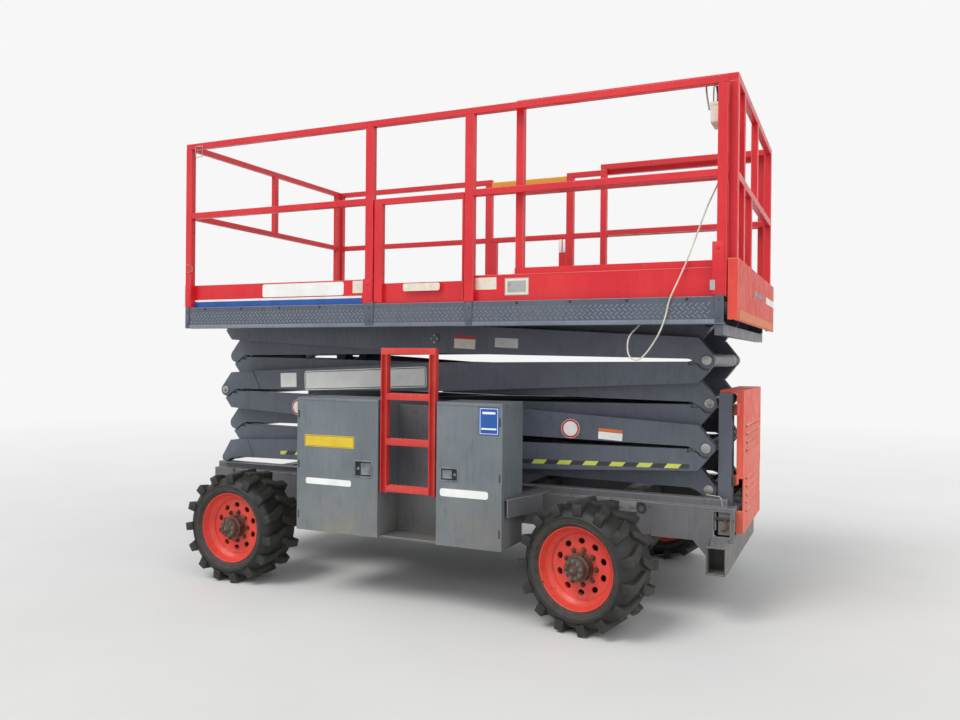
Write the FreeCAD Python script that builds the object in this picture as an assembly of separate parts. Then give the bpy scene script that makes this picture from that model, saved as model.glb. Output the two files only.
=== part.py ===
import FreeCAD, Part
import math
import os

from FreeCAD import Vector

os.makedirs("parts", exist_ok=True)

# Rough-terrain scissor lift, parked with its platform down.
# +X points to the steered axle and the platform extension, +Y to the far side, +Z up.
# The origin is on the ground under the middle of the machine.

# Wheels and axles
tyre_radius = 330.0
tyre_width = 305.0
lug_height = 24.0
lug_count = 15
lug_root = 5.0
lug_outer_edge = 3.0
tread_shoulder = 34.0
shoulder_drop = 40.0
bead_rise = 45.0
rim_radius = 214.0
rim_width = 250.0
front_axle_x = 1056.0
rear_axle_x = -1202.0
wheel_centre_y = 905.0
kingpin_y = 780.0
kingpin_radius = 16.0
steer_rest = -11.0
axle_tube_radius = 62.0
axle_tube_inset = 70.0
axle_housing_radius = 135.0
axle_housing_half = 110.0
axle_seat_half_x = 80.0
axle_seat_half_y = 190.0
axle_seat_z = (370.0, 500.0)
brake_radius = 104.0
brake_length = 40.0
drive_radius = 72.0
drive_inset = 60.0
yoke_half_x = 42.0
yoke_inset = 90.0
yoke_reach = 34.0
yoke_back = 28.0
yoke_plate = 22.0
yoke_half_height = 98.0
knuckle_radius = 40.0
knuckle_half_height = 74.0
motor_inset = 20.0
motor_length = 46.0
wheel_hub_reach = 1064.0
hub_back = 20.0
running_gap = 0.3
spindle_radius = 50.0
hub_radius = 66.0
hub_step = 10.0
hub_body_end = 112.0
hub_cover_end = 144.0
hub_cap_radius = 24.0
vent_count = 10
vent_ring_radius = 131.0
vent_radius = 17.0
disc_face = 62.0
disc_back = 48.0
disc_drop = 50.0

# Scissor stack
arm_length = 3270.0
stage_rise = 234.0
stage_count = 4
pivot_x = 1558.0
base_pin_z = 680.0
arm_width = 70.0
inner_arm_y = 380.0
outer_arm_y = 470.0
arm_end_depth = 112.0
arm_mid_depth = 178.0
arm_pin_offset = 62.0
lug_radius = 42.0
slide_lug_radius = 29.0
arm_corner = 52.0
nose_turn = 35.0
nose_bulge = 5.0
fork_length = 100.0
tongue_shoulder = 20.0
tongue_relief = 55.0
fork_slot = 44.0
tongue_width = 36.0
arm_pin_radius = 24.0
pin_clearance = 0.4
pin_head_radius = 30.0
end_head_radius = 27.0
pin_head_height = 7.0
cross_tube_radius = 38.0

# Lift cylinders
barrel_pin_u = 335.0
barrel_pin_v = 49.0
rod_pin_u = 635.0
rod_ear_drop = 110.0
rod_ear_gap = 37.0
rod_ear_plate = 13.0
barrel_radius = 62.0
rod_radius = 35.0
barrel_eye_radius = 62.0
rod_eye_radius = 44.0
rod_pin_radius = 20.0
gland_gap = 150.0

# Chassis
beam_outer_y = 545.0
beam_inner_y = 441.0
beam_top_z = 612.0
beam_bottom_z = 430.0
beam_web = 14.0
beam_flange = 18.0
beam_lip = 74.0
slide_rail_top_z = 650.0
slide_rail_outer_y = 508.0
slide_rail_front_x = 1667.0
chassis_rear_x = -1764.0
chassis_front_x = 1712.0
slot_x = (1605.0, 1689.0)
slot_z = (460.0, 590.0)
bracket_foot = 62.0
bumper_front_x = 1680.0
bumper_depth = 100.0
bumper_bottom_z = 272.0
bumper_height = 145.0
bumper_half = 620.0
bumper_wall = 8.0
hanger_width = 70.0
gusset_length = 80.0
gusset_drop = 90.0
gusset_plate = 10.0
wing_top_z = 455.0
tie_down_x = -1690.0
tie_down_width = 110.0
tie_down_plate = 20.0
tie_down_drop = 44.0
tie_down_hole = 25.0
cover_front_x = 1738.0
cover_plate = 8.0
cover_return_x = 1700.0
cover_lid_rear_x = 1612.0
cover_lid = 16.0
cover_half = 400.0
cover_bottom_z = 455.0
cover_top_z = 1222.0
cover_notch_z = (580.0, 750.0)
cover_notch = 15.0
louvre_half = 300.0
louvre_height = 14.0
louvre_rows = (556.0, 600.0, 644.0, 688.0, 732.0, 885.0, 928.0, 972.0, 1016.0)
cover_hinge_x = (1680.0, 1712.0)
cover_hinge_y = (385.0, 425.0)
cover_hinge_z = ((720.0, 770.0), (1090.0, 1150.0))
cover_post_y = (421.0, 439.0)
cover_post_inner_y = 345.0
cover_post_plate = 20.0

# Side cabinets and ladder
cabinet_outer_y = 1060.0
cabinet_inner_y = 775.0
cabinet_bottom_z = 380.0
cabinet_top_z = 1147.0
cabinet_wall = 16.0
door_thickness = 22.0
door_gap = 4.0
near_rear_cabinet_x = (-678.0, -130.0)
near_front_cabinet_x = (236.0, 620.0)
far_cabinet_x = (-678.0, 620.0)
ladder_x = (-118.0, 224.0)
ladder_top_z = 1435.0
ladder_rail = 40.0
rung_height = 38.0
rung_z = (640.0, 896.0, 1146.0)
recess_floor_z = 380.0
recess_depth_y = 835.0
recess_top_z = 1110.0
recess_front_gap = 28.0
ladder_inset = 4.0
strap_plate = 6.0
strap_inset = 24.0
mount_x = (-640.0, -170.0, 276.0, 580.0)
mount_width = 60.0
mount_z = (480.0, 560.0)
fender_plate = 6.0
fender_z = (552.0, 648.0)
fender_edge = ((640.0, 1030.0), (729.0, 743.0))
fender_inner_y = 620.0
engine_x = (-420.0, 260.0)
engine_top_z = 900.0
engine_gap = 4.0
engine_door_gap = 12.0

# Platform
deck_rear_x = -1717.0
deck_front_x = 1696.0
deck_half = 880.0
deck_bottom_z = 1559.0
deck_top_z = 1694.0
deck_floor = 26.0
skirt_web = 8.0
skirt_flange = 80.0
skirt_flange_plate = 10.0
guide_plate = 7.0
guide_lip_drop = 90.0
front_beam_x = (1652.0, 1696.0)
front_beam_bottom_z = 1505.0
front_beam_inset = 10.0
ear_plate = 12.0
ear_gap = 3.0
ear_half_width = 50.0
toe_top_z = 1840.0
toe_plate = 7.0
rail_tube = 38.0
top_rail_z = 2760.0
mid_rail_z = 2310.0
toe_inset = 42.0
near_posts = ((-1717.0, 46.0), (-338.0, 52.0), (306.0, 54.0), (1661.0, 47.0))
far_posts = ((-1717.0, 46.0), (-352.0, 54.0), (306.0, 54.0), (1661.0, 47.0))
far_stiles = ((-298.0, 41.0), (250.0, 56.0))
drop_bar_z = (2694.0, 2738.0)
rear_bar_half = 22.0
corner_post_y = (780.0, 818.0)
seat_gap = 0.3
rail_flat = 29.7
gate_gap = 7.0
gate_stile = 53.0
gate_latch_plate = 10.0
gate_floor_gap = 8.0
gate_top_z = 2300.0
gate_toe_top_z = 1812.0
gate_tube = 32.0
gate_hinge_radius = 8.5
gate_hinge_gap = 0.5

# Platform extension
ext_rear_x = 584.0
ext_front_x = 1764.0
ext_side_gap = 8.0
ext_half = deck_half - toe_inset - ext_side_gap
ext_floor = 12.0
ext_clearance = 0.3
ext_toe_top_z = 1875.0
ext_top_rail_z = 2786.0
ext_mid_share = 0.559
ext_post = 46.0
end_plate_bottom_z = 1575.0
end_plate = 14.0
end_return_x = 1714.0
end_return_bottom_z = 1580.0
ext_plate = 8.0

# Control box on the rail and its lead, which hangs over the toe boards
control_x = (1618.0, 1685.0)
control_depth = 145.3
control_drop = 115.0
control_height = 100.0
lead_diameter = 8.0
lead_points = (
    (1652.0, -772.0, 2544.8),
    (1653.0, -770.0, 2470.0),
    (1661.0, -765.0, 2380.0),
    (1662.0, -768.0, 2300.0),
    (1641.0, -772.0, 2243.0),
    (1608.0, -780.0, 2172.0),
    (1580.0, -795.0, 2092.0),
    (1554.0, -812.0, 2009.0),
    (1532.0, -836.0, 1930.0),
    (1507.0, -862.0, 1852.0),
    (1473.0, -886.0, 1762.0),
    (1436.0, -894.0, 1681.0),
    (1421.0, -896.0, 1599.0),
    (1394.0, -899.0, 1520.0),
    (1355.0, -903.0, 1453.0),
    (1323.0, -904.0, 1409.0),
    (1284.0, -898.0, 1375.0),
    (1235.0, -887.0, 1392.0),
    (1220.0, -868.0, 1456.0),
    (1226.0, -838.0, 1510.0),
    (1254.0, -798.0, 1547.0),
    (1300.0, -778.0, 1604.0),
    (1315.0, -770.0, 1666.8),
)


def slab(x, y, z):
    # x, y and z are (low, high)
    return Part.makeBox(x[1] - x[0], y[1] - y[0], z[1] - z[0], Vector(x[0], y[0], z[0]))


def rod(start, axis, radius, length):
    return Part.makeCylinder(radius, length, Vector(*start), Vector(*axis))


def mirror_y(shape):
    return shape.mirror(Vector(0, 0, 0), Vector(0, 1, 0))


def pair(shape):
    return [shape, mirror_y(shape)]


def join(shapes):
    if len(shapes) == 1:
        return shapes[0]
    return shapes[0].multiFuse(shapes[1:]).removeSplitter()


def save(name, shapes):
    if not isinstance(shapes, list):
        shapes = [shapes]
    shape = shapes[0] if len(shapes) == 1 else Part.makeCompound(shapes)
    if not shape.isValid():
        print("not valid", name)
    shape.exportStep("parts/%s.step" % name)
    solids = len(shape.Solids)
    print("%-24s solids %2d  volume %.4f m3" % (name, solids, shape.Volume * 1e-9))


def extrude_profile(points, low, high, plane):
    # plane "xz" is extruded along Y, "yz" along X, "xy" along Z
    if plane == "xz":
        corners = [Vector(a, low, b) for a, b in points]
        way = Vector(0, high - low, 0)
    elif plane == "yz":
        corners = [Vector(low, a, b) for a, b in points]
        way = Vector(high - low, 0, 0)
    else:
        corners = [Vector(a, b, low) for a, b in points]
        way = Vector(0, 0, high - low)
    wire = Part.makePolygon(corners + [corners[0]])
    return Part.Face(wire).extrude(way)


# Scissor arms: u runs along the line between an arm's two pins, from the lower pin,
# and v is square to it. The body lies above the line at its lower end and below it at
# its upper end, so that the folded stack stays low.

rest_angle = math.asin(stage_rise / arm_length)
rest_reach = arm_length * math.cos(rest_angle)
slide_x = pivot_x - rest_reach


def arm_frame(level, side):
    # side +1 starts at the left pin column and rises to the right, -1 the other way
    origin_x = slide_x if side > 0 else pivot_x
    origin_z = base_pin_z + level * stage_rise

    def place(u, v, y=0.0):
        x = origin_x + side * (u * math.cos(rest_angle) - v * math.sin(rest_angle))
        z = origin_z + u * math.sin(rest_angle) + v * math.cos(rest_angle)
        return Vector(x, y, z)

    return place


def centre_v(u):
    return arm_pin_offset * (1.0 - 2.0 * u / arm_length)


def half_depth(u):
    share = 1.0 - abs(2.0 * u / arm_length - 1.0)
    return 0.5 * (arm_end_depth + (arm_mid_depth - arm_end_depth) * share)


def arc_edge(place, y, a, b, c):
    return Part.Arc(place(a[0], a[1], y), place(b[0], b[1], y), place(c[0], c[1], y)).toShape()


def line_edge(place, y, a, b):
    return Part.LineSegment(place(a[0], a[1], y), place(b[0], b[1], y)).toShape()


def nose_middle(start, end):
    # a point a little above the middle of the nose's chord, which rounds it
    run_u = end[0] - start[0]
    run_v = end[1] - start[1]
    length = math.hypot(run_u, run_v)
    middle_u = (start[0] + end[0]) / 2.0 - nose_bulge * run_v / length
    middle_v = (start[1] + end[1]) / 2.0 + nose_bulge * run_u / length
    return (middle_u, middle_v)


def opposite(point):
    return (arm_length - point[0], -point[1])


def arm_end(lug):
    # the lower end's corners: chamfer, round lug and the nose that runs into the body
    tilt = math.radians(45.0)
    turn = math.radians(nose_turn)
    top = (-lug * math.cos(tilt), lug * math.sin(tilt))
    side = (-lug * math.cos(tilt / 2.0), -lug * math.sin(tilt / 2.0))
    nose = (lug * math.sin(turn), -lug * math.cos(turn))
    body = (fork_length, centre_v(fork_length) - half_depth(fork_length))
    return top, side, nose, nose_middle(nose, body), body


def arm_body(place, y_low, y_high, lower_lug, upper_lug):
    half = arm_length / 2.0
    corner = (arm_corner, arm_pin_offset + arm_end_depth / 2.0)
    low_top, low_side, low_nose, low_blend, low_body = arm_end(lower_lug)
    high_top, high_side, high_nose, high_blend, high_body = map(opposite, arm_end(upper_lug))
    edges = [
        arc_edge(place, y_low, low_nose, low_blend, low_body),
        line_edge(place, y_low, low_body, (half, -half_depth(half))),
        line_edge(place, y_low, (half, -half_depth(half)), opposite(corner)),
        line_edge(place, y_low, opposite(corner), high_top),
        arc_edge(place, y_low, high_top, high_side, high_nose),
        arc_edge(place, y_low, high_nose, high_blend, high_body),
        line_edge(place, y_low, high_body, (half, half_depth(half))),
        line_edge(place, y_low, (half, half_depth(half)), corner),
        line_edge(place, y_low, corner, low_top),
        arc_edge(place, y_low, low_top, low_side, low_nose),
    ]
    return Part.Face(Part.Wire(edges)).extrude(Vector(0, y_high - y_low, 0))


def local_block(place, u, v, y):
    corners = [(u[0], v[0]), (u[1], v[0]), (u[1], v[1]), (u[0], v[1])]
    points = [place(a, b, y[0]) for a, b in corners]
    wire = Part.makePolygon(points + [points[0]])
    return Part.Face(wire).extrude(Vector(0, y[1] - y[0], 0))


def arm_pair(number, inner):
    # inner arms hang between the outer ones; odd inner arms start at the right pins
    side = -1 if (number % 2 == 1) == inner else 1
    place = arm_frame(number - 1, side)
    middle = inner_arm_y if inner else outer_arm_y
    low = middle - arm_width / 2.0
    high = middle + arm_width / 2.0
    slides_low = number == 1 and not inner
    lower_lug = slide_lug_radius if slides_low else lug_radius
    arm = arm_body(place, low, high, lower_lug, lug_radius)
    deep = (-300.0, 300.0)
    slot = (middle - fork_slot / 2.0, middle + fork_slot / 2.0)
    tongue = (middle - tongue_width / 2.0, middle + tongue_width / 2.0)
    if not slides_low:
        arm = arm.cut(local_block(place, (-90.0, fork_length), deep, slot))
    top_pin = place(arm_length, 0.0)
    top_u = (arm_length - fork_length, arm_length + 90.0)
    top_v = (-tongue_shoulder, deep[1])
    for strip in ((low - 1.0, tongue[0]), (tongue[1], high + 1.0)):
        arm = arm.cut(local_block(place, top_u, top_v, strip))
        arm = arm.cut(rod((top_pin.x, strip[0], top_pin.z), (0, 1, 0), tongue_relief, strip[1] - strip[0]))
    mid_pin = place(arm_length / 2.0, 0.0)
    low_pin = place(0.0, 0.0)
    bore = arm_pin_radius + pin_clearance
    last = number == stage_count and not inner
    pieces = []
    if last:
        roller = deck_top_z - deck_floor - 7.0 - 1.0 - top_pin.z
        pieces.append(rod((top_pin.x, low + 5.0, top_pin.z), (0, 1, 0), roller, arm_width - 10.0))
    else:
        arm = arm.cut(rod((top_pin.x, low, top_pin.z), (0, 1, 0), bore, arm_width))
    head_y = outer_arm_y + arm_width / 2.0
    if inner:
        stub = head_y + 0.5 - middle
        pieces.append(rod((mid_pin.x, middle, mid_pin.z), (0, 1, 0), arm_pin_radius, stub))
        pieces.append(rod((mid_pin.x, head_y + 0.5, mid_pin.z), (0, 1, 0), pin_head_radius, pin_head_height))
        pieces.append(rod((mid_pin.x, high, mid_pin.z), (0, 1, 0), 45.0, 8.0))
    else:
        arm = arm.cut(rod((mid_pin.x, low, mid_pin.z), (0, 1, 0), bore, arm_width))
    if slides_low:
        pieces.append(rod((low_pin.x, low - 6.0, low_pin.z), (0, 1, 0), slide_lug_radius - 4.0, 6.5))
    else:
        pieces.append(rod((low_pin.x, low, low_pin.z), (0, 1, 0), arm_pin_radius, arm_width))
        if not inner:
            pieces.append(rod((low_pin.x, high, low_pin.z), (0, 1, 0), end_head_radius, pin_head_height))
    arm = join([arm] + pieces)
    tubes = [rod((low_pin.x, -low - 2.0, low_pin.z), (0, 1, 0), cross_tube_radius, 2.0 * low + 4.0)]
    if slides_low:
        tubes = [rod((low_pin.x, -low - 2.0, low_pin.z), (0, 1, 0), slide_lug_radius - 4.0, 2.0 * low + 4.0)]
    if inner and number % 2 == 1:
        carry = place(barrel_pin_u, barrel_pin_v)
        tubes.append(rod((carry.x, -low - 2.0, carry.z), (0, 1, 0), cross_tube_radius, 2.0 * low + 4.0))
    if inner and number % 2 == 0:
        v = centre_v(rod_pin_u)
        carry = place(rod_pin_u, v)
        tubes.append(rod((carry.x, -low - 2.0, carry.z), (0, 1, 0), cross_tube_radius, 2.0 * low + 4.0))
        for ear_y in (-rod_ear_gap - rod_ear_plate, rod_ear_gap):
            profile = [(rod_pin_u - 46.0, v), (rod_pin_u - 28.0, v - rod_ear_drop - 34.0)]
            profile += [(rod_pin_u + 28.0, v - rod_ear_drop - 34.0), (rod_pin_u + 46.0, v)]
            points = [place(a, b, ear_y) for a, b in profile]
            wire = Part.makePolygon(points + [points[0]])
            tubes.append(Part.Face(wire).extrude(Vector(0, rod_ear_plate, 0)))
    return join(pair(arm) + tubes)


for number in range(1, stage_count + 1):
    save("inner_arms_%d" % number, arm_pair(number, True))
    save("outer_arms_%d" % number, arm_pair(number, False))

# Lift cylinders, one for the two lower stages and one for the two upper ones


def cylinder(number):
    carrier = arm_frame(number - 1, -1)
    head = arm_frame(number, 1)
    start = carrier(barrel_pin_u, barrel_pin_v)
    end = head(rod_pin_u, centre_v(rod_pin_u) - rod_ear_drop)
    way = end - start
    length = way.Length
    way.normalize()
    barrel_length = length - gland_gap
    eye = rod((start.x, -60.0, start.z), (0, 1, 0), barrel_eye_radius, 120.0)
    tube = Part.makeCylinder(barrel_radius, barrel_length, start, way)
    gland = Part.makeCylinder(barrel_radius + 8.0, 60.0, start + way * (barrel_length - 60.0), way)
    barrel = join([eye, tube, gland])
    barrel = barrel.cut(rod((start.x, -80.0, start.z), (0, 1, 0), cross_tube_radius + pin_clearance, 160.0))
    bore_start = start + way * (cross_tube_radius + 60.0)
    bore_length = length
    barrel = barrel.cut(Part.makeCylinder(rod_radius + pin_clearance, bore_length, bore_start, way))
    stem_start = start + way * (cross_tube_radius + 70.0)
    stem = Part.makeCylinder(rod_radius, length - cross_tube_radius - 70.0, stem_start, way)
    rod_eye = rod((end.x, -30.0, end.z), (0, 1, 0), rod_eye_radius, 60.0)
    pin_half = rod_ear_gap - pin_clearance
    rod_pin = rod((end.x, -pin_half, end.z), (0, 1, 0), rod_pin_radius, 2.0 * pin_half)
    piston = join([stem, rod_eye, rod_pin])
    return barrel, piston, start, end


for number, label in ((1, "lower"), (3, "upper")):
    barrel, piston, start, end = cylinder(number)
    save("lift_barrel_%s" % label, barrel)
    save("lift_rod_%s" % label, piston)
    print("cylinder", label, [round(a, 3) for a in start], [round(a, 3) for a in end])

# Chassis

flange_low_z = beam_top_z - beam_flange
web_inner_y = beam_outer_y - beam_web
beam_points = [
    (beam_outer_y, beam_bottom_z),
    (beam_outer_y, beam_top_z),
    (beam_inner_y, beam_top_z),
    (beam_inner_y, flange_low_z),
    (web_inner_y, flange_low_z),
    (web_inner_y, beam_bottom_z + beam_flange),
    (beam_outer_y - beam_lip, beam_bottom_z + beam_flange),
    (beam_outer_y - beam_lip, beam_bottom_z),
]
beam = extrude_profile(beam_points, chassis_rear_x, chassis_front_x, "yz")
slide_rail = slab(
    (chassis_rear_x, slide_rail_front_x),
    (beam_inner_y, slide_rail_outer_y),
    (beam_top_z, slide_rail_top_z),
)
beam = join([beam, slide_rail])
beam = beam.cut(slab(slot_x, (web_inner_y - 1.0, beam_outer_y + 1.0), slot_z))
save("chassis_side_beams", pair(beam))

# columns: middle x, width, low z, high z
cross_table = (
    (-1660.0, 90.0, 468.0, 560.0),
    (rear_axle_x, 130.0, 500.0, flange_low_z),
    (-404.0, 90.0, 468.0, 560.0),
    (350.0, 90.0, 468.0, 560.0),
    (front_axle_x, 130.0, 500.0, flange_low_z),
    (pivot_x, 120.0, 490.0, flange_low_z),
    (1664.0, 72.0, 468.0, flange_low_z),
)
cross_members = []
for middle_x, width, low_z, high_z in cross_table:
    x = (middle_x - width / 2.0, middle_x + width / 2.0)
    cross_members.append(slab(x, (-web_inner_y, web_inner_y), (low_z, high_z)))
save("chassis_cross_members", cross_members)

bracket_points = [
    (pivot_x - bracket_foot, flange_low_z),
    (pivot_x + bracket_foot, flange_low_z),
    (pivot_x + lug_radius - 2.0, base_pin_z),
    (pivot_x - lug_radius + 2.0, base_pin_z),
]
bracket_y = (inner_arm_y - tongue_width / 2.0, inner_arm_y + tongue_width / 2.0)
bracket = extrude_profile(bracket_points, bracket_y[0], bracket_y[1], "xz")
bracket_top = rod((pivot_x, bracket_y[0], base_pin_z), (0, 1, 0), lug_radius - 2.0, tongue_width)
bracket = join([bracket, bracket_top])
pin_bore = rod((pivot_x, bracket_y[0], base_pin_z), (0, 1, 0), arm_pin_radius + pin_clearance, tongue_width)
bracket = bracket.cut(pin_bore)
save("base_pivot_brackets", pair(bracket))

bumper_x = (bumper_front_x - bumper_depth, bumper_front_x)
bumper_top_z = bumper_bottom_z + bumper_height
bumper_outer = slab(bumper_x, (-bumper_half, bumper_half), (bumper_bottom_z, bumper_top_z))
bumper_inner = slab(
    (bumper_x[0] + bumper_wall, bumper_x[1] - bumper_wall),
    (-bumper_half - 1.0, bumper_half + 1.0),
    (bumper_bottom_z + bumper_wall, bumper_top_z - bumper_wall),
)
save("bumper_tube", bumper_outer.cut(bumper_inner))
hanger_y = (beam_outer_y - hanger_width, beam_outer_y)
gusset_points = [
    (bumper_x[0] - gusset_length, beam_bottom_z),
    (bumper_x[0], beam_bottom_z),
    (bumper_x[0], beam_bottom_z - gusset_drop),
]
wing_points = [
    (beam_outer_y, bumper_top_z),
    (bumper_half, bumper_top_z),
    (beam_outer_y, wing_top_z),
]
hanger = join([
    slab(bumper_x, hanger_y, (bumper_top_z, beam_bottom_z)),
    extrude_profile(gusset_points, beam_outer_y - gusset_plate, beam_outer_y, "xz"),
    extrude_profile(wing_points, bumper_x[0] + 20.0, bumper_x[1], "yz"),
])
save("bumper_hangers", pair(hanger))

lug_x = (tie_down_x - tie_down_width / 2.0, tie_down_x + tie_down_width / 2.0)
lug_y = (beam_outer_y - tie_down_plate, beam_outer_y)
hole_z = beam_bottom_z - tie_down_drop
lug_end = rod((tie_down_x, lug_y[0], hole_z), (0, 1, 0), tie_down_width / 2.0, tie_down_plate)
lug_end = lug_end.common(slab(lug_x, lug_y, (hole_z - tie_down_width, hole_z)))
lug = join([slab(lug_x, lug_y, (hole_z, beam_bottom_z)), lug_end])
lug = lug.cut(rod((tie_down_x, lug_y[0], hole_z), (0, 1, 0), tie_down_hole, tie_down_plate))
save("tie_down_lugs", pair(lug))

plate_rear_x = cover_front_x - cover_plate
lid_low_z = cover_top_z - cover_lid
cover = slab((plate_rear_x, cover_front_x), (-cover_half, cover_half), (cover_bottom_z, cover_top_z))
lid = slab((cover_lid_rear_x, plate_rear_x), (-cover_half, cover_half), (lid_low_z, cover_top_z))
cover_sides = []
for z in ((cover_bottom_z, cover_notch_z[0]), (cover_notch_z[1], lid_low_z)):
    cover_sides += pair(slab((cover_return_x, plate_rear_x), (cover_half - cover_plate, cover_half), z))
for z in cover_hinge_z:
    cover_sides += pair(slab(cover_hinge_x, cover_hinge_y, z))
plate_span = (plate_rear_x, cover_front_x)
for notch in pair(slab(plate_span, (cover_half - cover_notch, cover_half), cover_notch_z)):
    cover = cover.cut(notch)
for z in louvre_rows:
    cover = cover.cut(slab(plate_span, (-louvre_half, louvre_half), (z, z + louvre_height)))
save("end_cover", join([cover, lid] + cover_sides))
post_front_x = cover_hinge_x[0]
post_points = [
    (cover_lid_rear_x, cover_post_y[0]),
    (cover_lid_rear_x, cover_post_y[1]),
    (post_front_x, cover_post_y[1]),
    (post_front_x, cover_post_inner_y),
    (post_front_x - cover_post_plate, cover_post_inner_y),
    (post_front_x - cover_post_plate, cover_post_y[0]),
]
save("cover_posts", pair(extrude_profile(post_points, flange_low_z, lid_low_z, "xy")))

# Axles, knuckles and wheels


def axle(x, steered):
    z = tyre_radius
    reach = kingpin_y - axle_tube_inset if steered else kingpin_y
    parts = [rod((x, -reach, z), (0, 1, 0), axle_tube_radius, 2.0 * reach)]
    parts.append(rod((x, -axle_housing_half, z), (0, 1, 0), axle_housing_radius, 2.0 * axle_housing_half))
    seat_x = (x - axle_seat_half_x, x + axle_seat_half_x)
    parts.append(slab(seat_x, (-axle_seat_half_y, axle_seat_half_y), axle_seat_z))
    if steered:
        yoke_x = (x - yoke_half_x, x + yoke_half_x)
        yoke_z = (z - yoke_half_height, z + yoke_half_height)
        for side in (-1.0, 1.0):
            ends = sorted((side * (kingpin_y - yoke_inset), side * (kingpin_y + yoke_reach)))
            for low in (yoke_z[0], yoke_z[1] - yoke_plate):
                parts.append(slab(yoke_x, ends, (low, low + yoke_plate)))
            back = sorted((side * (kingpin_y - yoke_inset), side * (kingpin_y - yoke_inset + yoke_back)))
            parts.append(slab(yoke_x, back, yoke_z))
            pin_height = yoke_z[1] - yoke_z[0]
            parts.append(rod((x, side * kingpin_y, yoke_z[0]), (0, 0, 1), kingpin_radius, pin_height))
    else:
        for side in (-1, 1):
            start = kingpin_y - drive_inset
            length = wheel_centre_y + hub_back - running_gap - start
            parts.append(rod((x, side * start, z), (0, side, 0), brake_radius, brake_length))
            parts.append(rod((x, side * start, z), (0, side, 0), drive_radius, length))
    return join(parts)


save("front_axle", axle(front_axle_x, True))
save("rear_axle", axle(rear_axle_x, False))


def turned(shape, side):
    if steer_rest == 0.0:
        return shape
    copy = shape.copy()
    copy.rotate(Vector(front_axle_x, side * kingpin_y, 0), Vector(0, 0, 1), steer_rest)
    return copy


def knuckle(side):
    x = front_axle_x
    z = tyre_radius
    low_z = z - knuckle_half_height
    height = 2.0 * knuckle_half_height
    barrel = rod((x, side * kingpin_y, low_z), (0, 0, 1), knuckle_radius, height)
    motor = rod((x, side * (kingpin_y + motor_inset), z), (0, side, 0), drive_radius, motor_length)
    spindle_start = kingpin_y + motor_inset + motor_length
    spindle_length = wheel_centre_y + hub_back - running_gap - spindle_start
    spindle = rod((x, side * spindle_start, z), (0, side, 0), spindle_radius, spindle_length)
    body = join([barrel, motor, spindle])
    body = body.cut(rod((x, side * kingpin_y, low_z), (0, 0, 1), kingpin_radius + pin_clearance, height))
    return turned(body, side)


save("knuckle_right", knuckle(-1))
save("knuckle_left", knuckle(1))


def revolve_y(points, centre_x, centre_y, side):
    # points are (distance outward from the wheel's middle plane, radius)
    corners = [Vector(centre_x, centre_y + side * a, tyre_radius + r) for a, r in points]
    wire = Part.makePolygon(corners + [corners[0]])
    solid = Part.Face(wire).revolve(Vector(centre_x, 0, tyre_radius), Vector(0, 1, 0), 360)
    if solid.Volume < 0:
        solid.reverse()
    return solid


def faceted_ring(points, x, y, sides):
    # points are (distance along the axle, radius to the flats)
    step = 2.0 * math.pi / sides
    corner_scale = 1.0 / math.cos(step / 2.0)
    faces = []
    for a, b in zip(points, points[1:] + points[:1]):
        for index in range(sides):
            quad = []
            for (along, radius), turn in ((a, index), (b, index), (b, index + 1), (a, index + 1)):
                across = radius * corner_scale * math.sin(step * turn)
                up = radius * corner_scale * math.cos(step * turn)
                quad.append(Vector(x + across, y + along, tyre_radius + up))
            faces.append(Part.Face(Part.makePolygon(quad + [quad[0]])))
    solid = Part.makeSolid(Part.makeShell(faces))
    if solid.Volume < 0:
        solid.reverse()
    return solid


def tyre(x, side):
    y = side * wheel_centre_y
    half = tyre_width / 2.0
    tread = tyre_radius - lug_height
    rim_half = rim_width / 2.0
    points = [
        (-rim_half, rim_radius),
        (-half, rim_radius + bead_rise),
        (-half, tread - shoulder_drop),
        (-half + tread_shoulder, tread),
        (half - tread_shoulder, tread),
        (half, tread - shoulder_drop),
        (half, rim_radius + bead_rise),
        (rim_half, rim_radius),
    ]
    carcass = faceted_ring(points, x, y, 2 * lug_count)
    # lug outline seen from outside the tread: (across the tread, around it)
    lug_end = 56.0
    edge = half - lug_outer_edge
    outline = [(-8.0, -26.0), (half * 0.55, 12.0), (edge, 20.0)]
    outline += [(edge, lug_end), (half * 0.45, 46.0), (-8.0, 2.0)]
    # the lugs' corners reach so far that the wheel stands at its radius between two of them
    step = 360.0 / lug_count
    corner_reach = tyre_radius / math.cos(math.radians(step / 4.0))
    lug_top = math.sqrt(corner_reach ** 2 - lug_end ** 2)
    first_turn = -step / 4.0 - math.degrees(math.asin(lug_end / corner_reach))
    lugs = []
    for flip in (-1.0, 1.0):
        corners = [Vector(x + b, y + flip * a, tyre_radius + tread - lug_root) for a, b in outline]
        lug = Part.Face(Part.makePolygon(corners + [corners[0]]))
        lug = lug.extrude(Vector(0, 0, lug_top - tread + lug_root))
        for index in range(lug_count):
            copy = lug.copy()
            turn = 180.0 + first_turn + step * (index + (0.5 if flip > 0 else 0.0))
            copy.rotate(Vector(x, 0, tyre_radius), Vector(0, 1, 0), turn)
            lugs.append(copy)
    return carcass.multiFuse(lugs)


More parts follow.
